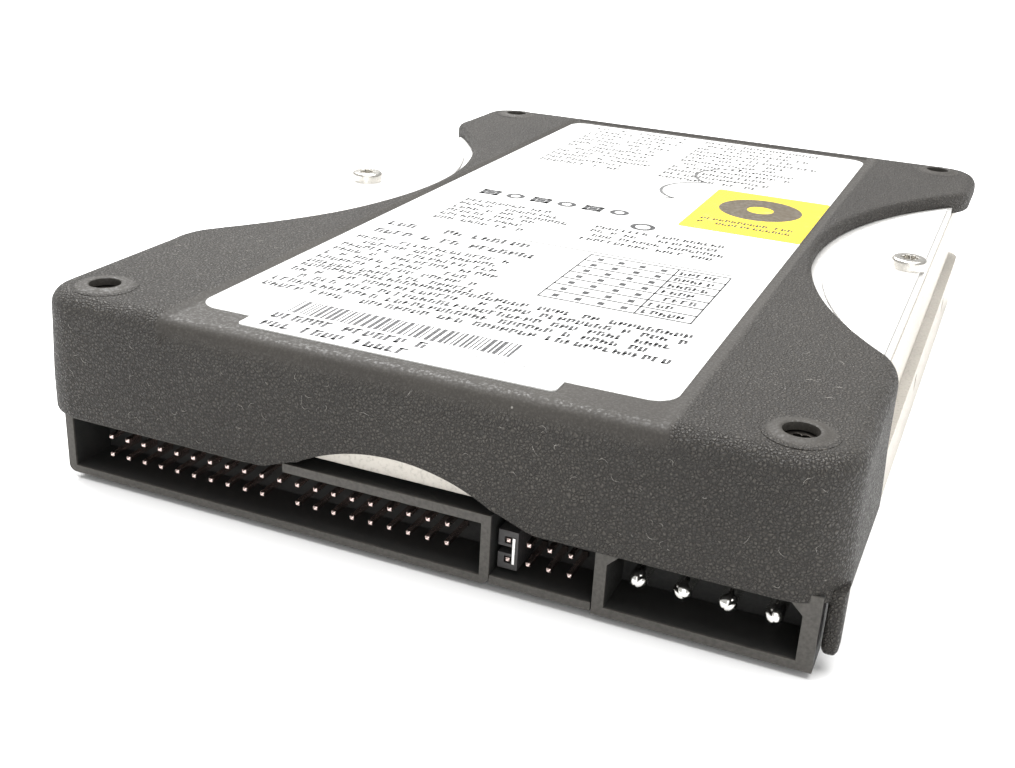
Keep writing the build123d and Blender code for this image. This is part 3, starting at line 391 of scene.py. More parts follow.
# %% Cast, rolled and turned metal
def metal_material(name, colour, rough, spot_scale=900.0, pore=0.00001, streak=None, dark=0.6, metallic=1.0):
    """Metal: streak stretches the fine pattern along one axis, as rolling or turning does."""
    made, tree, shader, place = start_material(name, Metallic=metallic)
    at = place
    if streak:
        at = node(tree, "Mapping", Vector=place, Scale=streak).outputs["Vector"]
    fine = noise(tree, at, spot_scale, 5.0, 0.6)
    broad = noise(tree, place, 70.0, 3.0)
    spots = maths(tree, "MULTIPLY", ramp(tree, fine, 0.52, 0.74), 0.8)
    dull = tuple(c * dark for c in colour)
    clean = blend_colours(tree, ramp(tree, broad, 0.35, 0.7), rgb(*colour), rgb(*(c * 0.9 for c in colour)))
    tree.links.new(blend_colours(tree, spots, clean, rgb(*dull)), shader.inputs["Base Color"])
    tree.links.new(ramp(tree, fine, 0.3, 0.7, rough * 0.8, rough * 1.25), shader.inputs["Roughness"])
    bumps(tree, shader, (fine, pore, 0.5), (broad, 0.00004, 0.25))
    return made


cast_aluminium = metal_material("cast_aluminium", (0.56, 0.53, 0.48), 0.5, 2400.0, 0.00003, None, 0.66, 0.6)
plated_cover = metal_material("plated_cover", (0.9, 0.89, 0.87), 0.38, 500.0, 0.000006, (1.0, 6.0, 1.0),
                              0.92, 0.6)
screw_steel = metal_material("screw_steel", (0.66, 0.64, 0.6), 0.28, 1600.0, 0.000012)
tin_plating = metal_material("tin_plating", (0.82, 0.81, 0.78), 0.16, 1500.0)
pin_plating = metal_material("pin_plating", (0.8, 0.64, 0.6), 0.22, 2000.0)
clip_metal = metal_material("clip_metal", (0.9, 0.89, 0.87), 0.18, 1800.0)
crystal_can = metal_material("crystal_can", (0.75, 0.74, 0.72), 0.22)
motor_steel = metal_material("motor_steel", (0.68, 0.67, 0.64), 0.25, 500.0, 0.000008, (1.0, 1.0, 8.0))
# Painted shade: a dark colour for the corner screws, standing for the shade deep in their bosses.
shaded_screw = metal_material("shaded_screw", (0.05, 0.045, 0.04), 0.4, 1600.0, 0.000012)
bearing_steel = metal_material("bearing_steel", (0.78, 0.78, 0.78), 0.12)
core_steel = metal_material("core_steel", (0.3, 0.3, 0.31), 0.45, 400.0, 0.00003, (1.0, 1.0, 30.0))
winding_copper = metal_material("winding_copper", (0.72, 0.3, 0.14), 0.28, 300.0, 0.00005, (1.0, 1.0, 20.0))
turned_aluminium = metal_material("turned_aluminium", (0.8, 0.8, 0.79), 0.22, 700.0, 0.000008)
disk_mirror = metal_material("disk_mirror", (0.86, 0.84, 0.81), 0.035, 200.0, 0.000001, None, 0.97)
spring_steel = metal_material("spring_steel", (0.72, 0.71, 0.7), 0.25)
yoke_nickel = metal_material("yoke_nickel", (0.68, 0.65, 0.58), 0.24)
magnet_nickel = metal_material("magnet_nickel", (0.7, 0.69, 0.66), 0.15)


# %% [markdown]
# A circuit board is green lacquer over copper tracks. The tracks run in straight lines and steps, so
# a pattern of square cells, thresholded, gives fine raised lines, and a second one at half the
# density gives wider ones.

# %% Circuit board
def board_material():
    """Green lacquer, a little lighter and proud where a copper track runs under it."""
    gloss = {"Roughness": 0.3, "Coat_Weight": 0.4, "Coat_Roughness": 0.2}
    made, tree, shader, place = start_material("board_lacquer", **gloss)
    lines = []
    for scale, settings in ((420.0, "MANHATTAN"), (230.0, "CHEBYCHEV")):
        kind = {"feature": "F1", "distance": settings}
        away = node(tree, "TexVoronoi", kind, Vector=place, Scale=scale).outputs["Distance"]
        bands = maths(tree, "FRACT", maths(tree, "MULTIPLY", away, 3.0))
        lines.append(ramp(tree, bands, 0.42, 0.5))
    tracks = maths(tree, "MULTIPLY", lines[0], lines[1])
    green = blend_colours(tree, tracks, rgb(0.006, 0.05, 0.022), rgb(0.02, 0.13, 0.05))
    tree.links.new(green, shader.inputs["Base Color"])
    bumps(tree, shader, (tracks, 0.00004, 0.6), (noise(tree, place, 2500.0), 0.00001, 0.3))
    return made


board_lacquer = board_material()


# %% [markdown]
# A narrow band of heights at the foot of the step where the lid rises to its raised lands is painted
# darker than the rest of the lid, as painted shade in that corner.

# %% Painted shade at the lid's step
cover_tree = plated_cover.node_tree
cover_shader = next(n for n in cover_tree.nodes if n.type == "BSDF_PRINCIPLED")
unshaded_cover = cover_shader.inputs["Base Color"].links[0].from_socket
cover_place = next(n for n in cover_tree.nodes if n.type == "TEX_COORD").outputs["Object"]
height = node(cover_tree, "SeparateXYZ", Vector=cover_place).outputs["Z"]
foot_low = ramp(cover_tree, height, 0.02332, 0.02336)
foot_high = ramp(cover_tree, height, 0.0236, 0.02366, 1.0, 0.0)
# Painted shade: the band at the foot of the step is darkened as the shade that falls in that corner.
step_shade = maths(cover_tree, "MULTIPLY", maths(cover_tree, "MULTIPLY", foot_low, foot_high), 0.85)
step_shaded_cover = blend_colours(cover_tree, step_shade, unshaded_cover, rgb(0.12, 0.11, 0.1))
cover_tree.links.new(step_shaded_cover, cover_shader.inputs["Base Color"])
print("materials", len(bpy.data.materials))


# %% [markdown]
# ## The rubber jacket
# Seen from above the jacket is an hourglass: each long side is bitten by a great circle that bares
# the lid. Its outline is lines and arcs joined tangent to tangent, and every point of it carries
# the direction that faces out. The top is a grid between the right outline and its mirror image.
# From the top's edge a band of rings rolls over a rounded edge and runs down the skirt.

# %% Jacket values
TOP = 25.7             # jacket's top
SIDE, END = 51.6, 73.5
CORNER = 6.0           # plan radius of the four corners
BITE_X, BITE_Y, BITE = 102.0, 5.0, 69.0
LOBE = 9.0             # radius that joins the bite to the side
ROLL, THIN_ROLL = 2.2, 0.9
SKIRT = 9.0            # lower edge of the skirt
FAR_LIP = 22.1         # lower edge of the short lip at the far end
LID = 23.35            # lower edge over the bared lid
WALL = 2.4
INNER_TOP = 23.32      # the jacket's underside, just inside the lid's edge
INNER_ROLL = 3.2       # how far in the underside ends
RAIL = 49.3            # the casting's side wall
ARCH, ARCH_Z = 25.0, -10.8
UNDER = 0.45           # rounding of the skirt's lower edge
RECESS_LEFT, RECESS_RIGHT, RECESS_BACK = -31.9, 31.7, 70.6
RECESS = 0.4           # depth of the label's recess
STEP = 0.4             # width of the recess's sloping wall
BOSS_X, BOSS_Y = 44.3, 67.5
CRATER, CRATER_Z = 3.0, 23.6


# %% Outline of one side
def jacket_side():
    """Right-hand outline from front to back: points, outward directions, and the roll of the edge."""
    across = BITE_X - (SIDE - LOBE)
    along = math.sqrt((BITE + LOBE) ** 2 - across ** 2)
    turn = math.degrees(math.atan2(along, across))
    near, far = BITE_Y - along, BITE_Y + along
    inner_y = END - CORNER
    front = arc((SIDE - CORNER, -inner_y), CORNER, -90, 0, 11)
    lobe = arc((SIDE - LOBE, near), LOBE, 0, turn, 10)
    bite = arc((BITE_X, BITE_Y), BITE, 180 + turn, 180 - turn, 88)
    far_lobe = arc((SIDE - LOBE, far), LOBE, -turn, 0, 10)
    back = arc((SIDE - CORNER, inner_y), CORNER, 0, 90, 11)
    runs = []
    for low, high, count in ((-inner_y, near, 22), (far, inner_y, 14)):
        y = np.linspace(low, high, count)
        runs.append((np.stack([np.full(count, SIDE), y], -1), np.tile([1.0, 0.0], (count, 1))))
    pieces = [front, runs[0], lobe, (bite[0], -bite[1]), far_lobe, runs[1], back]
    sizes = [len(part[0]) for part in pieces]
    rolls = np.concatenate([np.full(sizes[0] + sizes[1], ROLL), np.linspace(ROLL, THIN_ROLL, sizes[2]),
                            np.full(sizes[3], THIN_ROLL), np.linspace(THIN_ROLL, ROLL, sizes[4]),
                            np.full(sizes[5] + sizes[6], ROLL)])
    points = np.vstack([part[0] for part in pieces])
    outward = np.vstack([part[1] for part in pieces])
    fresh = np.r_[True, np.abs(np.diff(points[:, 1])) > 1e-6]
    return points[fresh], outward[fresh], rolls[fresh]


# %% Top grid and ring
def spread(edge):
    """Columns of each row: close together beside the recess's walls, and out to that row's edge."""
    outer = np.linspace(0, 1, 23)
    middle = np.linspace(RECESS_LEFT + STEP, RECESS_RIGHT - STEP, 58)
    middle = np.broadcast_to(middle, (len(edge), 58))
    left = RECESS_LEFT - (edge[:, None] + RECESS_LEFT) * outer[::-1]
    right = RECESS_RIGHT + (edge[:, None] - RECESS_RIGHT) * outer
    return np.hstack([left, middle, right])


def around(grid):
    """The edge of a grid as one ring: front row, last column, back row, first column."""
    return np.concatenate([grid[0, :-1], grid[:-1, -1], grid[-1, :0:-1], grid[:0:-1, 0]])


side_points, side_out, side_roll = jacket_side()
inset = side_points - side_roll[:, None] * side_out
x_grid = spread(inset[:, 0])
y_grid = np.broadcast_to(inset[:, 1][:, None], x_grid.shape)
rows, columns = x_grid.shape
in_recess = (x_grid > RECESS_LEFT + 0.1) & (x_grid < RECESS_RIGHT - 0.1) & (y_grid < RECESS_BACK)
z_grid = TOP - RECESS * in_recess
print("jacket top", rows, "x", columns, "points")


# %% Ring around the skirt
def ring_frame():
    """Points, outward directions and rolls of the whole plan outline, in the ring's order."""
    first = np.stack([x_grid[0], np.full(columns, -END)], -1)
    front = (first, np.tile([0.0, -1.0], (columns, 1)), np.full(columns, ROLL))
    right = (side_points, side_out, side_roll)
    back = (first[::-1] * [1, -1], np.tile([0.0, 1.0], (columns, 1)), np.full(columns, ROLL))
    left = (side_points[::-1] * [-1, 1], side_out[::-1] * [-1, 1], side_roll[::-1])
    return [np.concatenate([part[which][:-1] for part in (front, right, back, left)]) for which in range(3)]


def skirt_bottom(points):
    """Lower edge: the skirt's, an arch over the connectors in front, and the lid's where it is bared."""
    x, y = np.abs(points[:, 0]), points[:, 1]
    arch = ARCH_Z + np.sqrt(np.maximum(ARCH ** 2 - x ** 2, 0))
    flare = SKIRT + 0.38 * np.maximum(17.6 - x, 0)
    front = np.where(x < 13.2, arch, flare)
    lowest = np.where(y < -END + 0.5, front, SKIRT)
    lowest = np.where(y > BITE_Y, FAR_LIP, lowest)
    bared = (x < RAIL) & (np.abs(y) < 60)
    return np.where(bared, LID, lowest)


ring_xy, ring_out, ring_roll = ring_frame()
ring_low = skirt_bottom(ring_xy)
ring_mask = around(in_recess) * (ring_xy[:, 1] < 0)
print("ring", len(ring_xy), "points, lowest", ring_low.min())


# %% [markdown]
# Each ring of the band is the plan outline moved inwards and down. The first rings follow a quarter
# circle, the next share the height of the skirt out evenly, and the last three turn under its lower
# edge. A second layer of points, one wall inside, makes the rubber thick.

# %% Band
def lift(points_xy, height):
    """Plan points with a height each."""
    return np.concatenate([points_xy, np.broadcast_to(height, len(points_xy))[:, None]], 1)


def band(levels=16):
    """Outer and inner points of every ring, from the roll at the top to the skirt's lower edge."""
    outer, inner = [], []
    for step in range(1, 7):
        roll = math.radians(15 * step)
        dip = RECESS * ring_mask
        away = ring_roll * (1 - math.sin(roll)) + dip * math.sin(roll)
        height = TOP - ring_roll * (1 - math.cos(roll)) - dip * math.cos(roll)
        outer.append(lift(ring_xy - away[:, None] * ring_out, height))
        inner.append(lift(ring_xy - (INNER_ROLL - 0.8 * step / 6) * ring_out, INNER_TOP))
    start = TOP - ring_roll
    for step in range(1, levels + 1):
        height = start + (ring_low + UNDER - start) * step / levels
        fade = 1 - ease((start - height) / 1.4)
        away = RECESS * ring_mask * fade
        outer.append(lift(ring_xy - away[:, None] * ring_out, height))
        inner.append(lift(skirt_inside(), np.minimum(height, INNER_TOP)))
    for step in (1, 2, 3):
        turn = math.radians(30 * step)
        away = UNDER * (1 - math.cos(turn))
        height = ring_low + UNDER * (1 - math.sin(turn))
        outer.append(lift(ring_xy - away * ring_out, height))
        inner.append(lift(skirt_inside(), np.minimum(height, INNER_TOP)))
    return np.array(outer), np.array(inner)


def skirt_inside():
    """One wall inside the outline, but never inside the casting that the skirt covers."""
    spot = ring_xy - WALL * ring_out
    outside = (np.abs(ring_xy[:, 0]) > RAIL) & (np.abs(ring_xy[:, 1]) < 66)
    spot[outside, 0] = np.sign(spot[outside, 0]) * np.maximum(np.abs(spot[outside, 0]), RAIL - 0.05)
    return spot


outer_band, inner_band = band()
print("band", outer_band.shape)


# %% Wobble, flare and craters
def settle(points):
    """Soft rubber never lies quite flat: low waves outside the recess, and sides that flare."""
    x, y, z = points.T
    free = ease((np.abs(x) - 33.0) / 5) * ease((z - 20) / 4)
    z = z + free * (0.05 * np.sin(x / 6 + 1) * np.sin(y / 9) - 0.05)
    right = ease((x - 47.5) / 2.0) * ease((-44.5 - y) / 3.0)
    x = x + 0.42 * right * ease((21 - z) / 12)
    left = ease((-x - 46) / 4.0) * ease((-30 - y) / 12)
    x = x + left * (0.55 * ease((z - 12) / 13) - 0.1)
    x = x + ease((np.abs(x) - 48) / 3) * 0.06 * np.sin(y / 7 + z / 5)
    return np.stack([x, y, z], -1)


def crater(points):
    """The top sinks inside each boss, which a turned rim then covers."""
    away = np.hypot(np.abs(points[:, 0]) - BOSS_X, np.abs(points[:, 1]) - BOSS_Y)
    points[:, 2] = np.where(away < CRATER, CRATER_Z, points[:, 2])
    return points


outer_top = crater(settle(np.stack([x_grid, y_grid, z_grid], -1).reshape(-1, 3)))
under_edge = side_points - INNER_ROLL * side_out
narrow = (under_edge[:, 0] / inset[:, 0])[:, None]
under_y = np.broadcast_to(under_edge[:, 1][:, None], x_grid.shape)
inner_top = np.stack([x_grid * narrow, under_y, np.full_like(x_grid, INNER_TOP)], -1).reshape(-1, 3)
edge_index = around(np.arange(rows * columns).reshape(rows, columns))
ring_index = np.arange(outer_band.shape[0] * len(ring_xy)).reshape(-1, len(ring_xy)) + rows * columns
band_index = np.vstack([edge_index, ring_index])
band_index = np.hstack([band_index, band_index[:, :1]])
corners = [band_index[:-1, :-1], band_index[1:, :-1], band_index[1:, 1:], band_index[:-1, 1:]]
jacket_quads = np.vstack([grid_quads(rows, columns), np.stack(corners, -1).reshape(-1, 4)])
outer_all = np.vstack([outer_top, settle(outer_band.reshape(-1, 3))])
inner_all = np.vstack([inner_top, inner_band.reshape(-1, 3)])
jacket = piece("rubber_jacket_skin", *thick_sheet(outer_all, inner_all, jacket_quads), jacket_rubber,
               slot="jacket_rubber", stands_for=["rubber_jacket"], sharp=50)

# %% [markdown]
# The recess and its bevel at the front are smooth, because that part of the mould was polished.
# Each point of the mesh gets a value, polish, that the rubber's material reads: 1 is smooth, and it
# fades to the grain over a millimetre or two.

# %% Polish
def polish_of(points):
    """1 within the recess and on its bevel down the front, fading below it and beside it."""
    x, y, z = points.T
    across = ease((x - RECESS_LEFT + 0.5) / 0.6) * ease((RECESS_RIGHT + 0.5 - x) / 0.6)
    down = ease((z - 22.2) / 2.2)
    return across * down * ease((RECESS_BACK + 0.6 - y) / 0.4)


def give_polish(obj, values):
    """Write one polish value for each of the object's points."""
    layer = obj.data.attributes.new("polish", "FLOAT", "POINT")
    layer.data.foreach_set("value", values.astype(np.float32))


give_polish(jacket, polish_of(np.vstack([outer_all, inner_all])))
print("polished points", int((polish_of(outer_all) > 0.5).sum()))


# %% [markdown]
# Four low bosses ring the corner screws. Each is a closed profile turned about an upright line,
# polished beside the hole and grained at its outer edge, where it meets the jacket. The small foot
# that hangs from the right front corner is a stack of rounded rings, and only its tip is rounded off.

# %% Bosses and foot
BOSS = [(4.25, 25.4), (4.2, 25.69), (3.8, 25.72), (3.35, 25.78), (2.95, 25.88), (2.65, 25.98),
        (2.4, 26.04), (2.15, 26.03), (2.0, 25.92), (1.95, 25.7), (1.95, 25.02), (2.9, 25.02), (3.1, 25.3)]
bosses = [lathe(BOSS, (x, y)) for x in (-BOSS_X, BOSS_X) for y in (-BOSS_Y, BOSS_Y)]
boss_points, boss_quads = join_parts(bosses)
boss_rims = piece("jacket_bosses", boss_points, boss_quads, jacket_rubber, slot="jacket_rubber",
                  stands_for=["rubber_jacket"])
boss_away = np.hypot(np.abs(boss_points[:, 0]) - BOSS_X, np.abs(boss_points[:, 1]) - BOSS_Y)
give_polish(boss_rims, ease((3.95 - boss_away) / 0.8))

FOOT_X, FOOT_Y = 51.1, -69.8
FOOT_TOP, FOOT_LONG = 10.5, 8.25
SQUARE = 0.55          # under 1 squares the foot's oval section
down = np.linspace(0, 1, 22)[:, None]
turn = np.linspace(0, 2 * np.pi, 32, endpoint=False)[None, :]
round_end = np.sqrt(np.clip(1 - (np.clip(down - 0.86, 0, 1) / 0.14) ** 2.2, 0.02, 1))
foot_x = FOOT_X + 0.92 * round_end * np.sign(np.cos(turn)) * np.abs(np.cos(turn)) ** SQUARE
foot_y = FOOT_Y + 1.6 * round_end * np.sign(np.sin(turn)) * np.abs(np.sin(turn)) ** SQUARE
foot_z = FOOT_TOP - FOOT_LONG * down + 0 * turn
foot = np.stack([foot_x, foot_y, foot_z], -1)
piece("jacket_foot", *stacked_rings(foot), jacket_rubber, slot="jacket_rubber", stands_for=["rubber_jacket"])


# %% [markdown]
# ## Pieces that keep their engineering shape
# The casting, the lid, the connectors, the screws and the board are already right. Real edges are
# never sharp, though, and a rounded edge is what catches the light, so each gets a copy whose
# triangles are merged back into flat faces and whose edges are bevelled by a fraction of a
# millimetre.

# %% Softened copies
def softened(name, width, paint):
    """A copy of a CAD piece, merged and cleaned, with its sharp edges bevelled by width in mm."""
    source = nodes[name]
    work = bmesh.new()
    work.from_mesh(source.data)
    bmesh.ops.remove_doubles(work, verts=work.verts, dist=1e-6)
    flat = math.radians(0.6)
    bmesh.ops.dissolve_limit(work, angle_limit=flat, verts=work.verts, edges=work.edges)
    mesh = bpy.data.meshes.new(name + "_soft")
    work.to_mesh(mesh)
    work.free()
    thing = finish_piece(mesh, name + "_soft", paint, source["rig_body"], [name], 30)
    rounding = thing.modifiers.new("edge", "BEVEL")
    rounding.width = width * MM
    rounding.segments = 2
    rounding.limit_method = "ANGLE"
    rounding.angle_limit = math.radians(35)
    rounding.harden_normals = True
    return thing


SOFT = [
    (cast_aluminium, "cast_aluminium", {"base_casting": 0.3}),
    (plated_cover, "plated_cover", {"top_cover": 0.15}),
    (screw_steel, "screw_steel", {"cover_screws": 0.12}),
    (connector_plastic, "connector_plastic",
     {"header_housing": 0.15, "jumper_housing": 0.12, "power_housing": 0.15}),
    (pin_plating, "pin_plating", {"header_pins": 0.09, "jumper_pins": 0.09}),
    (tin_plating, "tin_plating", {"power_pins": 0.12}),
    (shunt_plastic, "shunt_plastic", {"jumper_shunt": 0.15}),
    (clip_metal, "clip_metal", {"shunt_clip": 0.05}),
    (board_lacquer, "board_laminate", {"circuit_board": 0.08}),
    (chip_plastic, "chip_plastic", {"controller_chip": 0.12, "buffer_memory_chip": 0.12,
                                    "motor_driver_chip": 0.12, "code_memory_chip": 0.1}),
]
soft = {}
for soft_paint, soft_slot, soft_widths in SOFT:
    for soft_name, soft_width in soft_widths.items():
        soft[soft_name] = softened(soft_name, soft_width, soft_paint)


# %% [markdown]
# The four corner screws sit deep in the rubber, and their faces are painted dark as shade; the two
# that the bites bare are bright. The corner screws' faces take this painted shade, picked by how far along
# they lie.

# %% Painted shade on the corner screws
screw_mesh = soft["cover_screws"].data
screw_mesh.materials.append(shaded_screw)
screw_centres = np.empty(len(screw_mesh.polygons) * 3)
screw_mesh.polygons.foreach_get("center", screw_centres)
corner_faces = np.abs(screw_centres.reshape(-1, 3)[:, 1]) > 0.05
# The corner screws' faces get the painted shade.
screw_mesh.polygons.foreach_set("material_index", corner_faces.astype(np.int32))
print("dark faces", int(corner_faces.sum()))


# %% [markdown]
# The power pins end in a domed, split tip. Rings along the pin shrink over the dome, and two shallow
# grooves run out to the end where the rolled sheet meets itself.

# %% Power pin tips
PIN_Z, PIN_R = 5.45, 1.08
PIN_XS = [29.66, 34.74, 39.82, 44.9]
tip_turn = np.linspace(0, 2 * np.pi, 40, endpoint=False)[None, :]
tip_step = np.linspace(0, 1, 14)[:, None]
dome = np.sqrt(np.clip(1 - np.clip((tip_step - 0.35) / 0.68, 0, 1) ** 2, 0.01, 1))


def pin_tip(centre, split):
    """A dome on a short shaft along Y, grooved on two sides; split turns the grooves."""
    groove = np.exp(-(np.sin(tip_turn - split) / 0.2) ** 2) * ease((tip_step - 0.1) / 0.5)
    radius = PIN_R * dome * (1 - 0.42 * groove)
    x = centre + radius * np.cos(tip_turn)
    z = PIN_Z + radius * np.sin(tip_turn)
    y = -70.1 - 1.5 * tip_step + 0 * tip_turn
    return stacked_rings(np.stack([x, y, z], -1))


tips = [pin_tip(centre, split) for centre, split in zip(PIN_XS, (1.2, 2.4, 0.9, 2.0))]
piece("power_pin_tips", *join_parts(tips), tin_plating, slot="tin_plating", sharp=60)


# %% [markdown]
# What is sealed inside or hidden under the board keeps the engineering mesh, with the same kinds of
# metal, film and plastic.

# %% Hidden pieces
HIDDEN = [
    (gasket_rubber, "cover_gasket"), (screw_steel, "board_screws clamp_screws yoke_screws"),
    (foam_black, "insulator_sheet"), (tin_plating, "chip_leads"), (crystal_can, "clock_crystal"),
    (capacitor_body, "power_capacitors"), (passive_body, "small_parts"),
    (connector_plastic, "motor_connector bulkhead_connector"), (motor_steel, "motor_base spindle_shaft"),
    (bearing_steel, "bearing_inner_races bearing_outer_races bearing_balls pivot_shaft pivot_sleeve"),
    (core_steel, "stator_core"), (winding_copper, "stator_windings voice_coil"),
    (magnet_black, "rotor_magnet"),
    (turned_aluminium, "spindle_hub platter_spacer disk_clamp actuator_arms"),
    (disk_mirror, "lower_platter upper_platter"), (amber_plastic, "coil_frame"),
    (spring_steel, "head_springs"),
    (slider_ceramic, "head_sliders"), (flex_film, "preamp_board flex_circuit"),
    (yoke_nickel, "lower_yoke upper_yoke yoke_posts"), (magnet_nickel, "lower_magnet upper_magnet"),
    (stop_rubber, "crash_stops"), (filter_fabric, "air_filter"),
]
hidden_count = 0
for hidden_paint, hidden_names in HIDDEN:
    for hidden_name in hidden_names.split():
        hidden_mesh = nodes[hidden_name].data
        hidden_mesh.materials.clear()
        hidden_mesh.materials.append(hidden_paint)
        hidden_count += 1
print("hidden pieces", hidden_count)


# %% [markdown]
# ## Label and stickers
# A label is a very thin pad: its outline is a rounded rectangle, and its edge turns over in a few
# hundredths of a millimetre. The print stands on it as marks of ink about a hundredth of a
# millimetre thick. No real words are printed: each line of text is a row of small strokes, a stem
# and a bar to each letter and often a second stem, in random sizes.

# %% Pads
def rounded_rectangle(x0, x1, y0, y1, radius, count=10):
    """Points and outward directions round a rectangle with round corners."""
    spots = [(x1 - radius, y0 + radius, -90), (x1 - radius, y1 - radius, 0),
             (x0 + radius, y1 - radius, 90), (x0 + radius, y0 + radius, 180)]
    arcs = [arc((x, y), radius, start, start + 90, count) for x, y, start in spots]
    return np.vstack([part[0] for part in arcs]), np.vstack([part[1] for part in arcs])


def pad(name, box, radius, low, high, paint, slot, stands_for):
    """A thin sheet with a rounded rectangle for an outline and an edge that turns over."""
    outline, out = rounded_rectangle(*box, radius)
    turn = (high - low) * 0.4
    profile = [(0.0, low), (0.0, high - turn), (turn * 0.4, high - turn * 0.2), (turn, high),
               (radius * 0.6, high)]
    rings = np.array([lift(outline - away * out, height) for away, height in profile])
    return piece(name, *stacked_rings(rings), paint, slot=slot, stands_for=stands_for, sharp=60)


pad("label_film", (-31.0, 30.4, -66.8, 68.7), 3.0, 25.3, 25.4, white_label, "white_label", ["main_label"])
pad("barcode_film", (-22.9, 18.0, -70.0, -58.0), 0.8, 25.3, 25.5, white_label, "white_sticker",
    ["barcode_sticker"])
pad("coloured_film", (10.9, 30.4, 2.3, 29.0), 0.6, 25.4, 25.5, yellow_sticker, "yellow_sticker",
    ["coloured_sticker"])


# %% Marks of ink
chance = np.random.default_rng(11)
INK, SUNK = 0.012, 0.004   # thickness of the ink, and how far its foot is sunk in the paper
LABEL_TOP, STICKER_TOP = 25.4, 25.5


def ink_boxes(marks, ground):
    """Marks (x0, x1, y0, y1) as thin closed boxes on the ground height."""
    marks = np.asarray(marks, float)
    x = marks[:, [0, 1, 1, 0]]
    y = marks[:, [2, 2, 3, 3]]
    flat = np.stack([x, y], -1)
    low = np.concatenate([flat, np.full(flat.shape[:2] + (1,), ground - SUNK)], -1)
    high = np.concatenate([flat, np.full(flat.shape[:2] + (1,), ground + INK)], -1)
    points = np.concatenate([low, high], 1).reshape(-1, 3)
    sides = np.array([[0, 3, 2, 1], [4, 5, 6, 7], [0, 1, 5, 4], [1, 2, 6, 5], [2, 3, 7, 6], [3, 0, 4, 7]])
    start = 8 * np.arange(len(marks))[:, None, None]
    return points, (sides[None] + start).reshape(-1, 4)


def text_line(x0, x1, y, high, gaps=0.15):
    """Strokes in place of letters: a stem, a bar, and for most of them a second stem."""
    step = 0.78 * high
    count = int((x1 - x0) / step)
    x = x0 + step * np.arange(count)
    x = x[chance.random(count) > gaps]
    level = y + high * chance.choice([0.02, 0.4, 0.8], len(x))
    wide = high * chance.choice([0.34, 0.5, 0.6], len(x))
    stems = np.stack([x, x + 0.26 * high, np.full(len(x), y), np.full(len(x), y + high)], -1)
    bars = np.stack([x, x + wide, level, level + 0.25 * high], -1)
    second = x[chance.random(len(x)) > 0.25] + 0.4 * high
    low = y + high * chance.choice([0.0, 0.3], len(second))
    partners = np.stack([second, second + 0.24 * high, low, low + 0.7 * high], -1)
    return np.vstack([stems, bars, partners])


def text_block(x0, x1, top, bottom, high, pitch, ragged=0.3):
    """Lines of strokes from top to bottom, with uneven right-hand ends."""
    lines = []
    for y in np.arange(top, bottom, -pitch):
        lines.append(text_line(x0, x1 - ragged * (x1 - x0) * chance.random(), y, high))
    return np.vstack(lines)


faint = [text_block(-24.8, -3.0, 65.0, 31.0, 1.7, 3.0), text_block(-1.5, 25.0, 65.0, 31.0, 1.7, 3.0)]
piece("faint_print", *ink_boxes(np.vstack(faint), LABEL_TOP), grey_ink, slot="white_label")

dark = [
    text_block(-24.0, -3.0, -3.0, -16.0, 1.5, 2.4), text_block(0.0, 24.0, -6.5, -16.0, 1.4, 2.4),
    text_line(-28.0, -4.0, -22.5, 2.0), text_line(-28.0, 0.0, -27.0, 2.0),
    text_block(-28.7, 1.0, -31.0, -46.0, 1.5, 2.3, 0.2),
    text_block(-28.7, 28.0, -46.6, -57.0, 1.55, 2.35, 0.1),
]
rule = [(-8.4, 25.3, -19.15, -18.85)]
emblem_x = np.arange(-24.0, 2.0, 4.6)
emblems = np.stack([emblem_x, emblem_x + 3.3, np.full(len(emblem_x), 2.6), np.full(len(emblem_x), 5.6)], -1)
hollow = emblems + [0.9, -0.9, 0.9, -0.9]
TABLE_LOW, TABLE_HIGH, TABLE_LEFT = -41.4, -20.4, 4.3
rows_y = np.linspace(TABLE_LOW, TABLE_HIGH, 8)
table_rows = [(TABLE_LEFT, 25.3, y, y + 0.4) for y in rows_y]
table_columns = [(x, x + 0.25, TABLE_LOW, TABLE_HIGH) for x in (TABLE_LEFT, 17.6, 25.1)]
dot_x, dot_y = np.meshgrid(np.linspace(6.0, 15.5, 4), rows_y[:-1] + 0.9)
dots = np.stack([dot_x, dot_x + 0.9, dot_y, dot_y + 1.2], -1).reshape(-1, 4)
notes = [text_line(18.3, 24.9, y + 0.8, 1.5) for y in rows_y[:-1]]
black_marks = np.vstack(dark + [rule, table_rows, table_columns, dots] + notes)
piece("label_print", *ink_boxes(black_marks, LABEL_TOP), black_ink, slot="white_label")


# %% Emblems, bars and the round symbol
def flat_ring(centre, outer, inner, ground, count=40):
    """A flat printed ring: a thin rectangle turned about an upright line."""
    foot, top = ground - SUNK, ground + INK
    return lathe([(outer, foot), (outer, top), (inner, top), (inner, foot)], centre, count)


def outline_marks(boxes, line):
    """Four strips round each box."""
    x0, x1, y0, y1 = np.asarray(boxes, float).T
    strips = [(x0, x1, y0, y0 + line), (x0, x1, y1 - line, y1)]
    strips += [(x0, x0 + line, y0, y1), (x1 - line, x1, y0, y1)]
    return np.vstack([np.stack(strip, -1) for strip in strips])


symbols = [ink_boxes(outline_marks(emblems[::2], 0.8), LABEL_TOP), ink_boxes(hollow[::2], LABEL_TOP),
           flat_ring((6.5, -2.0), 2.0, 1.2, LABEL_TOP)]
symbols += [flat_ring((x + 1.6, 4.1), 1.6, 0.8, LABEL_TOP) for x in emblem_x[1::2]]
piece("label_emblems", *join_parts(symbols), black_ink, slot="white_label")

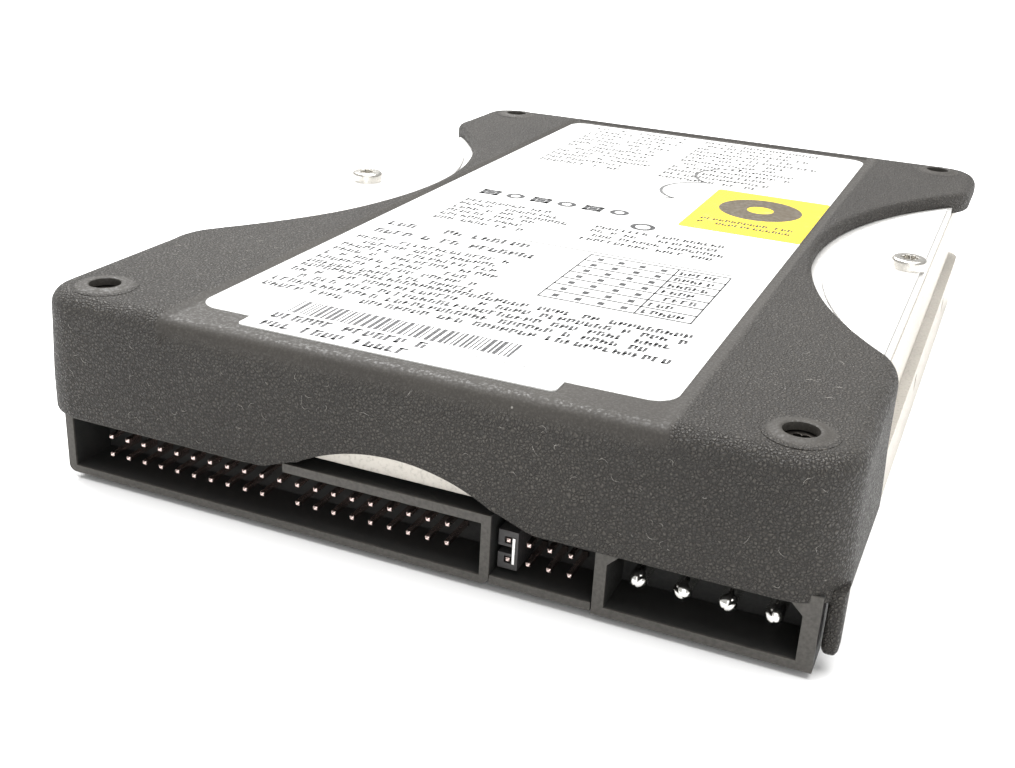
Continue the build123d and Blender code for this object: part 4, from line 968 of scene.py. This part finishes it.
BARS = 44
BARS_LEFT, BARS_LONG = -20.0, 30.0
bar_wide = chance.choice([0.35, 0.35, 0.6, 0.9], BARS)
bar_gap = chance.choice([0.35, 0.5, 0.75], BARS)
fit = BARS_LONG / (bar_wide + bar_gap).sum()
bar_wide, bar_gap = bar_wide * fit, bar_gap * fit
bar_x = BARS_LEFT + np.cumsum(np.r_[0, (bar_wide + bar_gap)[:-1]])
bars = np.stack([bar_x, bar_x + bar_wide, np.full(BARS, -63.5), np.full(BARS, -59.1)], -1)
sticker_marks = np.vstack([bars, text_line(-20.8, 0.8, -66.1, 1.8), text_line(-20.5, 0.5, -69.0, 1.8),
                           [(0.9, 12.6, -65.3, -65.15)]])
piece("sticker_bars", *ink_boxes(sticker_marks, STICKER_TOP), black_ink, slot="white_sticker")

symbol = [flat_ring((20.6, 18.5), 6.9, 2.2, STICKER_TOP, 64)]
symbol += [ink_boxes(text_line(13.0, 28.5, y, 1.3), STICKER_TOP) for y in (8.0, 5.8)]
piece("sticker_symbol", *join_parts(symbol), brown_ink, slot="yellow_sticker")


# %% [markdown]
# A pencil line wanders over the label: a thin ribbon along a wavy path. The path's direction turns
# at every point, so the ribbon's two edges are the path moved to either side of its own direction.

# %% Pencil line
def ribbon(path, width, ground, thick=0.01):
    """A flat ribbon along a plan path, as a closed strip with four corners to each cross-section."""
    along = np.gradient(path, axis=0)
    along /= np.linalg.norm(along, axis=1)[:, None]
    side = np.stack([-along[:, 1], along[:, 0]], -1) * width / 2
    foot, top = ground - SUNK, ground + thick
    edges = [(path - side, foot), (path + side, foot), (path + side, top), (path - side, top)]
    rings = np.stack([lift(spot, height) for spot, height in edges], 1)
    return stacked_rings(rings)


t = np.linspace(0, 1, 160)
scribble = np.stack([2.5 + 6 * t + 2.6 * np.sin(15 * t), 15 + 33 * t + 2.2 * np.cos(15 * t)], -1)
piece("pencil_line", *ribbon(scribble, 0.6, LABEL_TOP), grey_ink, slot="white_label")


# %% [markdown]
# ## Lint and dust
# Rubber holds dust. Fibres of lint are thin three-sided tubes along bent lines, lying against the
# front skirt and the top. Their points are worked out together: one axis counts the fibres, one
# runs along each fibre and one goes round it.

# %% Lint
def fibres(start, heading, length, bend, lift_axis, thick):
    """Bent thin tubes; start and heading are (n, 3), and lift_axis points away from the surface."""
    t = np.linspace(0, 1, 9)[None, :, None]
    across = np.cross(heading, lift_axis)
    path = start[:, None] + heading[:, None] * t * length[:, None, None]
    path = path + across[:, None] * bend[:, None, None] * np.sin(np.pi * t) * length[:, None, None]
    turn = np.linspace(0, 2 * np.pi, 3, endpoint=False)[None, None, :, None]
    ring = across[:, None, None] * np.cos(turn) + lift_axis * np.sin(turn)
    taper = (0.35 + 0.65 * np.sin(np.pi * np.clip(t, 0.04, 0.96)))[..., None]
    points = path[:, :, None] + thick * taper * ring
    return [stacked_rings(one) for one in points]


lint = []
for count, low, high, axis, spot in ((80, (-50, -73.53, 10.5), (50, -73.53, 23), (0, -1, 0), "front"),
                                     (14, (34, -66, 25.72), (49, -36, 25.72), (0, 0, 1), "top"),
                                     (14, (-49, -66, 25.72), (-34, -36, 25.72), (0, 0, 1), "top")):
    begin = chance.uniform(low, high, (count, 3))
    if spot == "front":
        begin = begin[(np.abs(begin[:, 0]) > 19) | (begin[:, 2] > 16)]
    way = chance.normal(size=begin.shape)
    way = way - (way @ np.array(axis))[:, None] * np.array(axis)
    way /= np.linalg.norm(way, axis=1)[:, None]
    size = len(begin)
    lint += fibres(begin, way, chance.uniform(0.3, 1.5, size), chance.uniform(-0.45, 0.45, size),
                   np.array(axis, float), 0.014)
lint_white = plastic_material("lint_white", (0.42, 0.4, 0.37), 0.9)
piece("lint", *join_parts(lint), lint_white, slot="jacket_rubber")


# %% [markdown]
# ## Floor, light and camera
# A pale floor that fills the view, a bright even world and three large soft lamps give the high-key
# look of a catalogue picture, with a soft shadow only where the drive meets the floor.

# %% Floor
FLOOR = 3000.0
floor_side = np.linspace(-FLOOR, FLOOR, 41)
floor_x, floor_y = np.meshgrid(floor_side, floor_side)
floor_points = np.stack([floor_x, floor_y, np.zeros_like(floor_x)], -1).reshape(-1, 3)
floor_mesh = bpy.data.meshes.new("floor")
floor_mesh.from_pydata((floor_points * MM).tolist(), [], grid_quads(41, 41).tolist())
floor_paint, floor_tree, floor_shader, floor_place = start_material("floor_paint", Roughness=0.75)
mottle = ramp(floor_tree, noise(floor_tree, floor_place, 9.0), 0.3, 0.7)
floor_colour = blend_colours(floor_tree, mottle, rgb(0.86, 0.86, 0.86), rgb(0.88, 0.88, 0.88))
floor_tree.links.new(floor_colour, floor_shader.inputs["Base Color"])
floor_mesh.materials.append(floor_paint)
floor = bpy.data.objects.new("floor", floor_mesh)
bpy.context.scene.collection.objects.link(floor)


# %% Lamps
def lamp(name, spot, aim, size, power):
    """A square soft lamp at spot, turned to aim; places in metres."""
    light = bpy.data.lights.new(name, "AREA")
    light.size = size
    light.energy = power
    thing = bpy.data.objects.new(name, light)
    bpy.context.scene.collection.objects.link(thing)
    thing.location = spot
    thing.rotation_euler = (Vector(aim) - Vector(spot)).to_track_quat("-Z", "Y").to_euler()
    return thing


lamps = [
    lamp("lamp_left_back", (-0.45, 0.35, 0.75), (0, 0, 0), 0.6, 13.0),
    lamp("lamp_top", (0.1, 0.0, 0.95), (0, 0, 0), 0.9, 16.0),
    lamp("lamp_front", (0.35, -0.8, 0.35), (0, -0.05, 0.01), 0.7, 2.2),
]
world = bpy.data.worlds.new("room")
bpy.context.scene.world = world
world.use_nodes = True
world.node_tree.nodes["Background"].inputs["Color"].default_value = rgb(1.0, 0.995, 0.98)
world.node_tree.nodes["Background"].inputs["Strength"].default_value = 0.62
print("lamps", len(lamps))


# %% Camera
EYE = np.array([0.060472, -0.189190, 0.079845])
AIM = np.array([0.001808, -0.043568, 0.013])
TILT = math.radians(3.17)
look = (AIM - EYE) / np.linalg.norm(AIM - EYE)
level = np.cross(look, [0, 0, 1])
level /= np.linalg.norm(level)
upward = np.cross(level, look)
right = math.cos(TILT) * level + math.sin(TILT) * upward
upward = np.cross(right, look)
lens = bpy.data.cameras.new("camera")
lens.sensor_width = 36.0
lens.lens = 45.0
lens.clip_start = 0.005
camera = bpy.data.objects.new("camera", lens)
bpy.context.scene.collection.objects.link(camera)
turned = np.eye(4)
turned[:3, 0], turned[:3, 1], turned[:3, 2], turned[:3, 3] = right, upward, -look, EYE
camera.matrix_world = Matrix(turned.tolist())
bpy.context.scene.camera = camera
bpy.context.scene.view_settings.view_transform = "Standard"
print("camera looks along", look.round(4), "right", right.round(4))
